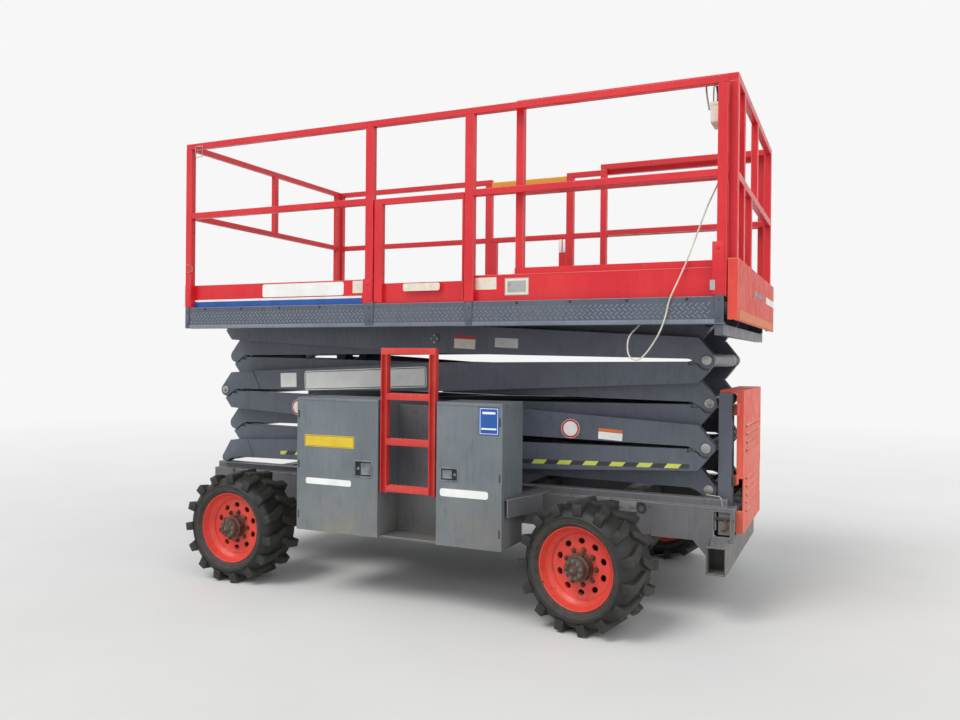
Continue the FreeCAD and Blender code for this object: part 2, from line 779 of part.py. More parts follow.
def wheel(x, side):
    y = side * wheel_centre_y
    edge = rim_width / 2.0
    bead = rim_radius - running_gap
    rim_points = [
        (-edge, bead),
        (-edge, bead - 26.0),
        (disc_back, bead - disc_drop - 6.0),
        (disc_back, hub_radius - 5.0),
        (disc_face, hub_radius - 5.0),
        (disc_face, bead - disc_drop),
        (disc_face + 12.0, bead - disc_drop + 12.0),
        (edge - 16.0, bead - 16.0),
        (edge, bead - 8.0),
        (edge, bead),
    ]
    disc = revolve_y(rim_points, x, y, side)
    vents = []
    for index in range(vent_count):
        corners = []
        for turn in range(6):
            angle = math.radians(60.0 * turn)
            high = tyre_radius + vent_ring_radius + vent_radius * math.sin(angle)
            corners.append(Vector(x + vent_radius * math.cos(angle), y + side * disc_back, high))
        vent = Part.Face(Part.makePolygon(corners + [corners[0]]))
        vent = vent.extrude(Vector(0, side * (disc_face - disc_back), 0))
        vent.rotate(Vector(x, 0, tyre_radius), Vector(0, 1, 0), 360.0 / vent_count * index)
        vents.append(vent)
    disc = disc.cut(Part.makeCompound(vents))
    reach = wheel_hub_reach - wheel_centre_y
    hub_points = [
        (hub_back, 0.0),
        (hub_back, hub_radius),
        (hub_body_end, hub_radius),
        (hub_body_end + 4.0, hub_radius - hub_step),
        (hub_cover_end, hub_radius - hub_step),
        (hub_cover_end + 4.0, hub_radius - 2.0 * hub_step),
        (hub_cover_end + 4.0, hub_cap_radius),
        (reach, hub_cap_radius - 4.0),
        (reach, 0.0),
    ]
    hub = revolve_y(hub_points, x, y, side)
    return join([disc, hub])


wheel_table = (
    # name, x, side, steered
    ("front_right", front_axle_x, -1, True),
    ("front_left", front_axle_x, 1, True),
    ("rear_right", rear_axle_x, -1, False),
    ("rear_left", rear_axle_x, 1, False),
)
for name, x, side, steered in wheel_table:
    rubber = tyre(x, side)
    metal = wheel(x, side)
    if steered:
        rubber = turned(rubber, side)
        metal = turned(metal, side)
    save("tyre_%s" % name, rubber)
    save("wheel_%s" % name, metal)

# Side cabinets: hollow boxes open to the outside, closed by doors


def cabinet(x, side):
    face = cabinet_outer_y - door_thickness - running_gap
    y = (cabinet_inner_y, face)
    shell = slab(x, y, (cabinet_bottom_z, cabinet_top_z))
    inner_x = (x[0] + cabinet_wall, x[1] - cabinet_wall)
    inner_z = (cabinet_bottom_z + cabinet_wall, cabinet_top_z - cabinet_wall)
    shell = shell.cut(slab(inner_x, (y[0] + cabinet_wall, face + 1.0), inner_z))
    return shell if side > 0 else mirror_y(shell)


def door(x, side):
    y = (cabinet_outer_y - door_thickness, cabinet_outer_y)
    panel = slab(x, y, (cabinet_bottom_z, cabinet_top_z))
    return panel if side > 0 else mirror_y(panel)


save("cabinet_near_rear", cabinet(near_rear_cabinet_x, -1))
save("cabinet_near_front", cabinet(near_front_cabinet_x, -1))
save("cabinet_far", cabinet(far_cabinet_x, 1))
door_split = (far_cabinet_x[0] + far_cabinet_x[1]) / 2.0
save("door_near_rear", door(near_rear_cabinet_x, -1))
save("door_near_front", door(near_front_cabinet_x, -1))
save("door_far_rear", door((far_cabinet_x[0], door_split - door_gap / 2.0), 1))
save("door_far_front", door((door_split + door_gap / 2.0, far_cabinet_x[1]), 1))

engine_y = (cabinet_inner_y + cabinet_wall + engine_gap, cabinet_outer_y - door_thickness - engine_door_gap)
save("engine_block", slab(engine_x, engine_y, (cabinet_bottom_z + cabinet_wall, engine_top_z)))

mounts = []
for x in mount_x:
    arm = slab((x - mount_width / 2.0, x + mount_width / 2.0), (beam_outer_y, cabinet_inner_y), mount_z)
    mounts += pair(arm)
# the bracket beside the steered tyre: a plate with a web under its slanted edge
fender_rear_x = near_front_cabinet_x[1]
fender_points = [
    (fender_rear_x, fender_edge[0][1]),
    fender_edge[0],
    fender_edge[1],
    (fender_edge[1][0], fender_inner_y),
    (fender_rear_x, fender_inner_y),
]
web_points = [
    fender_edge[0],
    fender_edge[1],
    (fender_edge[1][0] - fender_plate, fender_edge[1][1]),
    (fender_edge[0][0] - fender_plate, fender_edge[0][1]),
]
fender = join([
    extrude_profile(fender_points, fender_z[1] - fender_plate, fender_z[1], "xy"),
    extrude_profile(web_points, fender_z[0], fender_z[1] - fender_plate, "xy"),
])
mounts += pair(fender)
save("cabinet_mounts", mounts)

# Ladder between the near cabinets
ladder_low_y = -cabinet_outer_y + ladder_inset
ladder_y = (ladder_low_y, ladder_low_y + ladder_rail)
strap_y = (ladder_low_y + strap_inset, ladder_low_y + strap_inset + strap_plate)
ladder = []
for x in (ladder_x[0], ladder_x[1] - ladder_rail):
    ladder.append(slab((x, x + ladder_rail), ladder_y, (rung_z[0] - rung_height, ladder_top_z)))
ladder_top = slab(ladder_x, ladder_y, (ladder_top_z - rung_height, ladder_top_z))
ladder.append(ladder_top)
for z in rung_z:
    ladder.append(slab(ladder_x, ladder_y, (z - rung_height, z)))
recess_x = (near_rear_cabinet_x[1], near_front_cabinet_x[0])
for z in (rung_z[0], rung_z[2]):
    ladder.append(slab(recess_x, strap_y, (z - rung_height, z)))
save("ladder", join(ladder))
recess_back = slab(recess_x, (-recess_depth_y, -recess_depth_y + 8.0), (recess_floor_z, recess_top_z))
recess_floor_y = (-cabinet_outer_y + recess_front_gap, -recess_depth_y)
recess_floor = slab(recess_x, recess_floor_y, (recess_floor_z, recess_floor_z + 10.0))
save("ladder_recess", join([recess_back, recess_floor]))

# Platform deck

skirt_points = [
    (deck_half, deck_bottom_z),
    (deck_half, deck_top_z),
    (deck_half - skirt_web, deck_top_z),
    (deck_half - skirt_web, deck_bottom_z + skirt_flange_plate),
    (deck_half - skirt_flange, deck_bottom_z + skirt_flange_plate),
    (deck_half - skirt_flange, deck_bottom_z),
]
skirt = extrude_profile(skirt_points, deck_rear_x, deck_front_x, "yz")
save("deck_side_skirts", pair(skirt))
floor_low_z = deck_top_z - deck_floor
floor_y = deck_half - skirt_web
save("deck_floor", slab((deck_rear_x, deck_front_x), (-floor_y, floor_y), (floor_low_z, deck_top_z)))

guide_y = (outer_arm_y - 40.0, outer_arm_y + 42.0, outer_arm_y + 50.0)
guide_points = [
    (guide_y[0], floor_low_z - guide_plate),
    (guide_y[1], floor_low_z - guide_plate),
    (guide_y[1], floor_low_z - guide_lip_drop),
    (guide_y[2], floor_low_z - guide_lip_drop),
    (guide_y[2], floor_low_z),
    (guide_y[0], floor_low_z),
]
guide = extrude_profile(guide_points, deck_rear_x + 20.0, deck_front_x - 60.0, "yz")
front_beam_z = (front_beam_bottom_z, deck_bottom_z)
front_beam_half = deck_half - front_beam_inset
front_beam = slab(front_beam_x, (-front_beam_half, front_beam_half), front_beam_z)
save("deck_guides", pair(guide) + [front_beam])
top_pin_z = base_pin_z + stage_count * stage_rise
ear_half_gap = tongue_width / 2.0 + ear_gap
ear_x = (pivot_x - ear_half_width, pivot_x + ear_half_width)
ears = []
for low in (inner_arm_y - ear_half_gap - ear_plate, inner_arm_y + ear_half_gap):
    ears.append(slab(ear_x, (low, low + ear_plate), (top_pin_z, floor_low_z)))
    ears.append(rod((pivot_x, low, top_pin_z), (0, 1, 0), lug_radius, ear_plate))
pin_half = ear_half_gap + ear_plate
ears.append(rod((pivot_x, inner_arm_y - pin_half, top_pin_z), (0, 1, 0), arm_pin_radius, 2.0 * pin_half))
save("deck_pivot_brackets", pair(join(ears)))

# Toe boards, posts and rails
board_y = (deck_half - toe_inset, deck_half - toe_inset + toe_plate)
post_y = (board_y[1] + seat_gap, deck_half + 4.0)
gate_x = (near_posts[1][0] + near_posts[1][1], near_posts[2][0])
board_z = (deck_top_z, toe_top_z)
rails_x = (near_posts[0][0], near_posts[3][0] + near_posts[3][1])
end_x = (rails_x[0], rails_x[0] + rail_flat)
board_rear_x = end_x[1] + seat_gap
boards = [
    mirror_y(slab((board_rear_x + toe_plate, gate_x[0]), board_y, board_z)),
    mirror_y(slab((gate_x[1], rails_x[1]), board_y, board_z)),
    slab((board_rear_x + toe_plate, rails_x[1]), board_y, board_z),
    slab((board_rear_x, board_rear_x + toe_plate), (-board_y[0], board_y[0]), board_z),
]
save("toe_boards", boards)

posts = []
rail_bottom_z = top_rail_z - rail_tube
mid_z = (mid_rail_z - rail_tube, mid_rail_z)
for side, table in ((-1, near_posts), (1, far_posts)):
    for x, width in table:
        post = slab((x, x + width), post_y, (deck_top_z, rail_bottom_z))
        posts.append(post if side > 0 else mirror_y(post))
for x, width in far_stiles:
    posts.append(slab((x, x + width), post_y, (deck_top_z, mid_z[0])))
posts.append(slab(end_x, (-rear_bar_half, rear_bar_half), (mid_rail_z, rail_bottom_z)))
posts.append(slab(end_x, corner_post_y, (deck_top_z, rail_bottom_z)))
save("guard_rail_posts", posts)

top_z = (rail_bottom_z, top_rail_z)
drop_bar_x = (far_posts[1][0] + far_posts[1][1], far_posts[2][0])
side_rails = [
    mirror_y(slab(rails_x, post_y, top_z)),
    slab((rails_x[0], drop_bar_x[0]), post_y, top_z),
    slab((drop_bar_x[1], rails_x[1]), post_y, top_z),
    slab(drop_bar_x, post_y, drop_bar_z),
]
for side, table in ((-1, near_posts), (1, far_posts)):
    for index in range(3):
        if side < 0 and index == 1:
            continue
        span = (table[index][0] + table[index][1], table[index + 1][0])
        rail = slab(span, post_y, mid_z)
        side_rails.append(rail if side > 0 else mirror_y(rail))
save("guard_side_rails", side_rails)

end_rails = [
    slab(end_x, (-post_y[0], post_y[0]), top_z),
    slab(end_x, (-post_y[0], corner_post_y[0]), mid_z),
]
save("guard_end_rails", end_rails)

gate_frame = []
gx = (gate_x[0] + gate_gap, gate_x[1] - gate_gap)
gy = (-post_y[0] - gate_tube, -post_y[0])
gate_low_z = deck_top_z + gate_floor_gap
gate_frame.append(slab((gx[0], gx[0] + gate_stile), gy, (gate_low_z, gate_top_z)))
gate_frame.append(slab((gx[1] - gate_latch_plate, gx[1]), gy, (gate_low_z, gate_top_z)))
gate_frame.append(slab(gx, gy, (gate_top_z - gate_tube, gate_top_z)))
gate_frame.append(slab(gx, (gy[1] - toe_plate, gy[1]), (gate_low_z, gate_toe_top_z)))
hinge_x = gate_x[0]
hinge_y = -post_y[0] + gate_hinge_radius + gate_hinge_gap
for z in (1880.0, gate_top_z - 110.0):
    gate_frame.append(rod((hinge_x, hinge_y, z), (0, 0, 1), gate_hinge_radius, 70.0))
    leaf_y = (-post_y[0] - 4.0, hinge_y)
    gate_frame.append(slab((gx[0], gx[0] + 24.0), leaf_y, (z, z + 70.0)))
save("entry_gate", join(gate_frame))

# Platform extension, which slides out along +X

ext_floor_z = (deck_top_z + ext_clearance, deck_top_z + ext_clearance + ext_floor)
plate_x = (ext_front_x - end_plate, ext_front_x)
plate_half = deck_half + 4.0
ext_inner = ext_half - ext_plate
save("extension_floor", slab((ext_rear_x, plate_x[0]), (-ext_half, ext_half), ext_floor_z))
ext_board = slab((ext_rear_x, plate_x[0]), (ext_inner, ext_half), (ext_floor_z[1], ext_toe_top_z))
save("extension_toe_boards", pair(ext_board))
front_plate = slab(plate_x, (-plate_half, plate_half), (end_plate_bottom_z, ext_toe_top_z))
end_return = slab(
    (end_return_x, plate_x[0]),
    (plate_half - end_plate, plate_half),
    (end_return_bottom_z, ext_toe_top_z),
)
save("extension_end_plate", join([front_plate] + pair(end_return)))
ext_post_y = (ext_inner - seat_gap - rail_tube, ext_inner - seat_gap)
ext_rail_bottom = ext_top_rail_z - rail_tube
ext_mid_top = ext_floor_z[1] + ext_mid_share * (ext_top_rail_z - ext_floor_z[1])
ext_mid_z = (ext_mid_top - rail_tube, ext_mid_top)
ext_posts = []
for x in (ext_rear_x, plate_x[0] - ext_post):
    ext_posts += pair(slab((x, x + ext_post), ext_post_y, (ext_floor_z[1], ext_rail_bottom)))
ext_end_x = (plate_x[0] - rail_tube, plate_x[0])
full_bar_y = (-579.0, -541.0)
# columns: bar across the end frame, its low and high z
end_bars = (
    (full_bar_y, ext_floor_z[1], ext_rail_bottom),
    ((-269.0, -231.0), ext_floor_z[1], ext_mid_z[0]),
    ((1.0, 39.0), ext_mid_z[1], ext_rail_bottom),
)
for y, low_z, high_z in end_bars:
    ext_posts.append(slab(ext_end_x, y, (low_z, high_z)))
save("extension_posts", ext_posts)
ext_rails = pair(slab((ext_rear_x, plate_x[0]), ext_post_y, (ext_rail_bottom, ext_top_rail_z)))
mid_span = (ext_rear_x + ext_post, plate_x[0] - ext_post)
ext_rails += pair(slab(mid_span, ext_post_y, ext_mid_z))
save("extension_side_rails", ext_rails)
ext_end = [slab(ext_end_x, (-ext_post_y[0], ext_post_y[0]), (ext_rail_bottom, ext_top_rail_z))]
for y in ((-ext_post_y[0], full_bar_y[0]), (full_bar_y[1], ext_post_y[0])):
    ext_end.append(slab(ext_end_x, y, ext_mid_z))
save("extension_end_rails", ext_end)

# Control box on the near rail post, and its lead down to the deck's underside

control_y = (-post_y[0], -post_y[0] + control_depth)
control_top_z = top_rail_z - control_drop
save("control_box", slab(control_x, control_y, (control_top_z - control_height, control_top_z)))


def lead(points, diameter):
    # straight runs joined by arcs that touch both of them
    corners = [Vector(*point) for point in points]
    edges = []
    radii = []
    last = corners[0]
    for before, corner, after in zip(corners, corners[1:], corners[2:]):
        back = before - corner
        ahead = after - corner
        reach = 0.45 * min(back.Length, ahead.Length)
        back.normalize()
        ahead.normalize()
        half_turn = (math.pi - back.getAngle(ahead)) / 2.0
        radius = reach / math.tan(half_turn)
        radii.append(radius)
        inward = back + ahead
        inward.normalize()
        start = corner + back * reach
        middle = corner + inward * (radius / math.cos(half_turn) - radius)
        end = corner + ahead * reach
        edges.append(Part.LineSegment(last, start).toShape())
        edges.append(Part.Arc(start, middle, end).toShape())
        last = end
    edges.append(Part.LineSegment(last, corners[-1]).toShape())
    path = Part.Wire(edges)
    section = Part.Wire(Part.makeCircle(diameter / 2.0, corners[0], corners[1] - corners[0]))
    tube = path.makePipeShell([section], True, False)
    share = tube.Volume / (math.pi * diameter ** 2 / 4.0 * path.Length)
    print("lead length %.0f  volume against section x length %.4f" % (path.Length, share))
    print("lead radii", [round(radius) for radius in radii])
    return tube


save("control_lead", lead(lead_points, lead_diameter))
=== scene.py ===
import bmesh
import bpy
import math
from mathutils import Matrix, Quaternion, Vector


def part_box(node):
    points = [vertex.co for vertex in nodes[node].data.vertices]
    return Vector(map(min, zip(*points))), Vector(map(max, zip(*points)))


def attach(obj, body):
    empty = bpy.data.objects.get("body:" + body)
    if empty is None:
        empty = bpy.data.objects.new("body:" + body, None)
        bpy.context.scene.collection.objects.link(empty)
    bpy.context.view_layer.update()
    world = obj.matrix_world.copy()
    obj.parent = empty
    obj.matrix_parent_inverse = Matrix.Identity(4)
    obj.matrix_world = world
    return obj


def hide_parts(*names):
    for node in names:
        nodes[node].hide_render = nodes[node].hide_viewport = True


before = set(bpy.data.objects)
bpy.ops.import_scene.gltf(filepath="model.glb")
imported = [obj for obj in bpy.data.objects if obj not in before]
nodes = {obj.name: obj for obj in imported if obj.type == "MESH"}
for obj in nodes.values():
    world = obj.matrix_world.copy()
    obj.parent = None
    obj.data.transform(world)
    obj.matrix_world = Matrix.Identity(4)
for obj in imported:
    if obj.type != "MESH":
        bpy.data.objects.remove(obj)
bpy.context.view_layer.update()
print("frame loaded,", len(nodes), "nodes")


# Modelling helpers

def clearSelection():
    if bpy.context.object and bpy.context.object.mode != "OBJECT":
        bpy.ops.object.mode_set(mode="OBJECT")
    bpy.ops.object.select_all(action="DESELECT")


def makeActive(piece):
    clearSelection()
    piece.select_set(True)
    bpy.context.view_layer.objects.active = piece


def startEdit(piece, kind="FACE"):
    makeActive(piece)
    bpy.ops.object.mode_set(mode="EDIT")
    bpy.ops.mesh.select_mode(type=kind)


def endEdit():
    bpy.ops.object.mode_set(mode="OBJECT")


def settle(piece):
    # puts the piece's place, turn and size into its mesh
    makeActive(piece)
    bpy.ops.object.transform_apply(location=True, rotation=True, scale=True)


def addBlock(name, low, high, turn=(0, 0, 0)):
    clearSelection()
    middle = [(a + b) / 2 for a, b in zip(low, high)]
    size = [abs(b - a) for a, b in zip(low, high)]
    bpy.ops.mesh.primitive_cube_add(size=1, location=middle, rotation=turn, scale=size)
    piece = bpy.context.object
    piece.name = name
    settle(piece)
    return piece


def addRound(name, start, end, radius, sides=32, tip=None):
    # a round bar from start to end, tapered to the radius tip if it is given
    clearSelection()
    way = Vector(end) - Vector(start)
    middle = (Vector(start) + Vector(end)) / 2
    turn = way.to_track_quat("Z", "Y").to_euler()
    last = radius if tip is None else tip
    bpy.ops.mesh.primitive_cone_add(vertices=sides, radius1=radius, radius2=last, depth=way.length,
                                    location=middle, rotation=turn)
    piece = bpy.context.object
    piece.name = name
    settle(piece)
    return piece


def startLine(name, points, closed=False):
    # one vertex is extruded from point to point
    clearSelection()
    bpy.ops.mesh.primitive_plane_add(size=0.01, location=points[0])
    piece = bpy.context.object
    piece.name = name
    settle(piece)
    startEdit(piece, "VERT")
    bpy.ops.mesh.select_all(action="SELECT")
    bpy.ops.mesh.merge(type="CENTER")
    for a, b in zip(points, points[1:]):
        step = Vector(b) - Vector(a)
        bpy.ops.mesh.extrude_region_move(TRANSFORM_OT_translate={"value": step})
    bpy.ops.mesh.select_all(action="SELECT")
    if closed:
        bpy.ops.mesh.edge_face_add()
    return piece


def addPlate(name, outline, way):
    # a flat outline pulled out along way
    piece = startLine(name, outline, closed=True)
    bpy.ops.mesh.extrude_region_move(TRANSFORM_OT_translate={"value": way})
    bpy.ops.mesh.select_all(action="SELECT")
    bpy.ops.mesh.normals_make_consistent(inside=False)
    endEdit()
    return piece


def addTurned(name, profile, centre, axis, steps=64, closed=True):
    # a profile spun once round the axis
    piece = startLine(name, profile)
    if closed:
        bpy.ops.mesh.edge_face_add()
        bpy.ops.mesh.delete(type="ONLY_FACE")
        bpy.ops.mesh.select_all(action="SELECT")
    bpy.ops.mesh.spin(steps=steps, angle=2 * math.pi, center=centre, axis=axis)
    bpy.ops.mesh.select_all(action="SELECT")
    bpy.ops.mesh.remove_doubles(threshold=0.00005)
    bpy.ops.mesh.normals_make_consistent(inside=False)
    endEdit()
    return piece


def pickFaces(test):
    bpy.ops.mesh.select_all(action="DESELECT")
    mesh = bmesh.from_edit_mesh(bpy.context.object.data)
    for face in mesh.faces:
        if test(face.calc_center_median(), face.normal):
            face.select_set(True)
    bmesh.update_edit_mesh(bpy.context.object.data)


def roundEdges(piece, width=0.002, segments=2, angle=35):
    makeActive(piece)
    bpy.ops.object.modifier_add(type="BEVEL")
    bevel = piece.modifiers[-1]
    bevel.width = width
    bevel.segments = segments
    bevel.angle_limit = math.radians(angle)
    bpy.ops.object.modifier_apply(modifier=bevel.name)
    return piece


def cutAway(piece, cutter):
    makeActive(piece)
    bpy.ops.object.modifier_add(type="BOOLEAN")
    cut = piece.modifiers[-1]
    cut.operation = "DIFFERENCE"
    cut.solver = "EXACT"
    cut.object = cutter
    bpy.ops.object.modifier_apply(modifier=cut.name)
    bpy.data.objects.remove(cutter)
    return piece


def copyAt(piece, name, place):
    # a copy with its own mesh, moved by a vector or a matrix
    made = piece.copy()
    made.data = piece.data.copy()
    made.name = name
    bpy.context.scene.collection.objects.link(made)
    move = place if isinstance(place, Matrix) else Matrix.Translation(Vector(place))
    made.data.transform(move)
    if move.determinant() < 0:
        made.data.flip_normals()
    return made


def joinPieces(name, pieces):
    clearSelection()
    for piece in pieces:
        piece.select_set(True)
    bpy.context.view_layer.objects.active = pieces[0]
    if len(pieces) > 1:
        bpy.ops.object.join()
    made = bpy.context.view_layer.objects.active
    made.name = name
    return made


def dress(piece, body, material, angle=30):
    # smooth shading, finish and the body that it moves with
    makeActive(piece)
    bpy.ops.object.shade_smooth_by_angle(angle=math.radians(angle))
    if material:
        piece.data.materials.clear()
        piece.data.materials.append(material)
    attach(piece, body)
    return piece


# Camera, at the photograph's viewing angle

cameraSet = {"place": (2.293, -4.983, 1.386), "yaw": -0.431, "pitch": -0.003, "roll": 0.009, "lens": 30.95}


def addCamera(settings):
    clearSelection()
    yaw, pitch = settings["yaw"], settings["pitch"]
    ahead = Vector((math.sin(yaw) * math.cos(pitch), math.cos(yaw) * math.cos(pitch), math.sin(pitch)))
    turn = ahead.to_track_quat("-Z", "Y") @ Quaternion((0, 0, 1), settings["roll"])
    bpy.ops.object.camera_add(location=settings["place"], rotation=turn.to_euler())
    camera = bpy.context.object
    camera.name = "camera"
    camera.data.sensor_fit = "HORIZONTAL"
    camera.data.sensor_width = 36
    camera.data.lens = settings["lens"]
    camera.data.clip_start = 0.05
    camera.data.clip_end = 400
    bpy.context.scene.camera = camera


addCamera(cameraSet)
print("camera placed")


# Finishes. Colours are typed as 0 to 255 and turned into Blender's own scale.

def tone(red, green, blue):
    out = []
    for part in (red, green, blue):
        share = part / 255
        out.append(share / 12.92 if share <= 0.04045 else ((share + 0.055) / 1.055) ** 2.4)
    return (*out, 1)


def newMaterial(name):
    material = bpy.data.materials.new(name)
    material.use_nodes = True
    return material, material.node_tree, material.node_tree.nodes["Principled BSDF"]


def noiseOf(tree, scale, detail=4, stretch=(1, 1, 1), coords="Object"):
    place = tree.nodes.new("ShaderNodeTexCoord")
    shift = tree.nodes.new("ShaderNodeMapping")
    shift.inputs["Scale"].default_value = stretch
    noise = tree.nodes.new("ShaderNodeTexNoise")
    noise.inputs["Scale"].default_value = scale
    noise.inputs["Detail"].default_value = detail
    noise.inputs["Roughness"].default_value = 0.6
    tree.links.new(place.outputs[coords], shift.inputs["Vector"])
    tree.links.new(shift.outputs["Vector"], noise.inputs["Vector"])
    return noise.outputs["Fac"]


def rangeOf(tree, value, low, high, toLow=0.0, toHigh=1.0):
    node = tree.nodes.new("ShaderNodeMapRange")
    node.inputs["From Min"].default_value = low
    node.inputs["From Max"].default_value = high
    node.inputs["To Min"].default_value = toLow
    node.inputs["To Max"].default_value = toHigh
    tree.links.new(value, node.inputs["Value"])
    return node.outputs["Result"]


def sumOf(tree, kind, first, second):
    node = tree.nodes.new("ShaderNodeMath")
    node.operation = kind
    node.use_clamp = kind in ("MULTIPLY", "ADD", "SUBTRACT")
    for index, value in enumerate((first, second)):
        if isinstance(value, (int, float)):
            node.inputs[index].default_value = value
        else:
            tree.links.new(value, node.inputs[index])
    return node.outputs["Value"]


def mixOf(tree, share, first, second):
    node = tree.nodes.new("ShaderNodeMix")
    node.data_type = "RGBA"
    tree.links.new(share, node.inputs["Factor"])
    for index, value in ((6, first), (7, second)):
        if isinstance(value, tuple):
            node.inputs[index].default_value = value
        else:
            tree.links.new(value, node.inputs[index])
    return node.outputs[2]


def axisOf(tree, axis):
    place = tree.nodes.new("ShaderNodeTexCoord")
    split = tree.nodes.new("ShaderNodeSeparateXYZ")
    tree.links.new(place.outputs["Object"], split.inputs["Vector"])
    return split.outputs[axis]


def bumpOf(tree, shader, value, strength, distance=0.001):
    bump = tree.nodes.new("ShaderNodeBump")
    bump.inputs["Strength"].default_value = strength
    bump.inputs["Distance"].default_value = distance
    tree.links.new(value, bump.inputs["Height"])
    tree.links.new(bump.outputs["Normal"], shader.inputs["Normal"])


def paint(name, colour, faded, dust=(150, 138, 118), rough=0.42, grime=0.35, rust=0.0, ground=0.0,
          sheen=0.0, worn=None):
    # sprayed paint: uneven fading, rain streaks, dust that settles low down and rusty chips
    material, tree, shader = newMaterial(name)
    cloud = rangeOf(tree, noiseOf(tree, 2.6, 5), 0.38, 0.68)
    colourOut = mixOf(tree, cloud, tone(*colour), tone(*faded))
    streaks = rangeOf(tree, noiseOf(tree, 9.0, 5, (6, 6, 0.8)), 0.5, 0.78, 0.0, grime)
    colourOut = mixOf(tree, streaks, colourOut, tone(*[int(0.55 * part) for part in colour]))
    speck = rangeOf(tree, noiseOf(tree, 46.0, 6), 0.56, 0.72, 0.0, grime * 0.6)
    colourOut = mixOf(tree, speck, colourOut, tone(*dust))
    if ground:
        low = rangeOf(tree, axisOf(tree, "Z"), 0.2, ground, 0.75, 0.0)
        low = sumOf(tree, "MULTIPLY", low, rangeOf(tree, noiseOf(tree, 7.0, 6), 0.3, 0.65))
        colourOut = mixOf(tree, low, colourOut, tone(*dust))
    if rust:
        chips = rangeOf(tree, noiseOf(tree, 23.0, 8), 0.705 - 0.07 * rust, 0.725 - 0.07 * rust)
        colourOut = mixOf(tree, chips, colourOut, tone(92, 52, 34))
    if worn:
        layer = tree.nodes.new("ShaderNodeAttribute")
        layer.attribute_name = "worn"
        bare = sumOf(tree, "ADD", rangeOf(tree, noiseOf(tree, 21.0, 7), 0.3, 0.75), layer.outputs["Fac"])
        colourOut = mixOf(tree, rangeOf(tree, bare, 0.85, 1.25, 0.0, 0.9), colourOut, tone(*worn))
    tree.links.new(colourOut, shader.inputs["Base Color"])
    gloss = rangeOf(tree, noiseOf(tree, 14.0, 6), 0.3, 0.7, rough - 0.08, rough + 0.16)
    tree.links.new(gloss, shader.inputs["Roughness"])
    bumpOf(tree, shader, noiseOf(tree, 160.0, 3), 0.12, 0.0006)
    shader.inputs["Coat Weight"].default_value = sheen
    shader.inputs["Coat Roughness"].default_value = 0.25
    return material


def metal(name, colour, stain, rough=0.38, amount=0.5, metallic=0.9):
    # bare or plated metal with staining
    material, tree, shader = newMaterial(name)
    share = rangeOf(tree, noiseOf(tree, 19.0, 7), 0.62 - 0.3 * amount, 0.78 - 0.25 * amount)
    tree.links.new(mixOf(tree, share, tone(*colour), tone(*stain)), shader.inputs["Base Color"])
    tree.links.new(rangeOf(tree, share, 0, 1, metallic, 0.1), shader.inputs["Metallic"])
    tree.links.new(rangeOf(tree, noiseOf(tree, 60.0, 5), 0.3, 0.7, rough - 0.08, rough + 0.25),
                   shader.inputs["Roughness"])
    bumpOf(tree, shader, noiseOf(tree, 210.0, 4), 0.25, 0.0006)
    return material


def plastic(name, colour, shade, rough=0.5, scale=30.0):
    material, tree, shader = newMaterial(name)
    share = rangeOf(tree, noiseOf(tree, scale, 5), 0.35, 0.7)
    tree.links.new(mixOf(tree, share, tone(*colour), tone(*shade)), shader.inputs["Base Color"])
    tree.links.new(rangeOf(tree, noiseOf(tree, 80.0, 4), 0.3, 0.7, rough - 0.06, rough + 0.12),
                   shader.inputs["Roughness"])
    bumpOf(tree, shader, noiseOf(tree, 420.0, 2), 0.15, 0.0004)
    return material


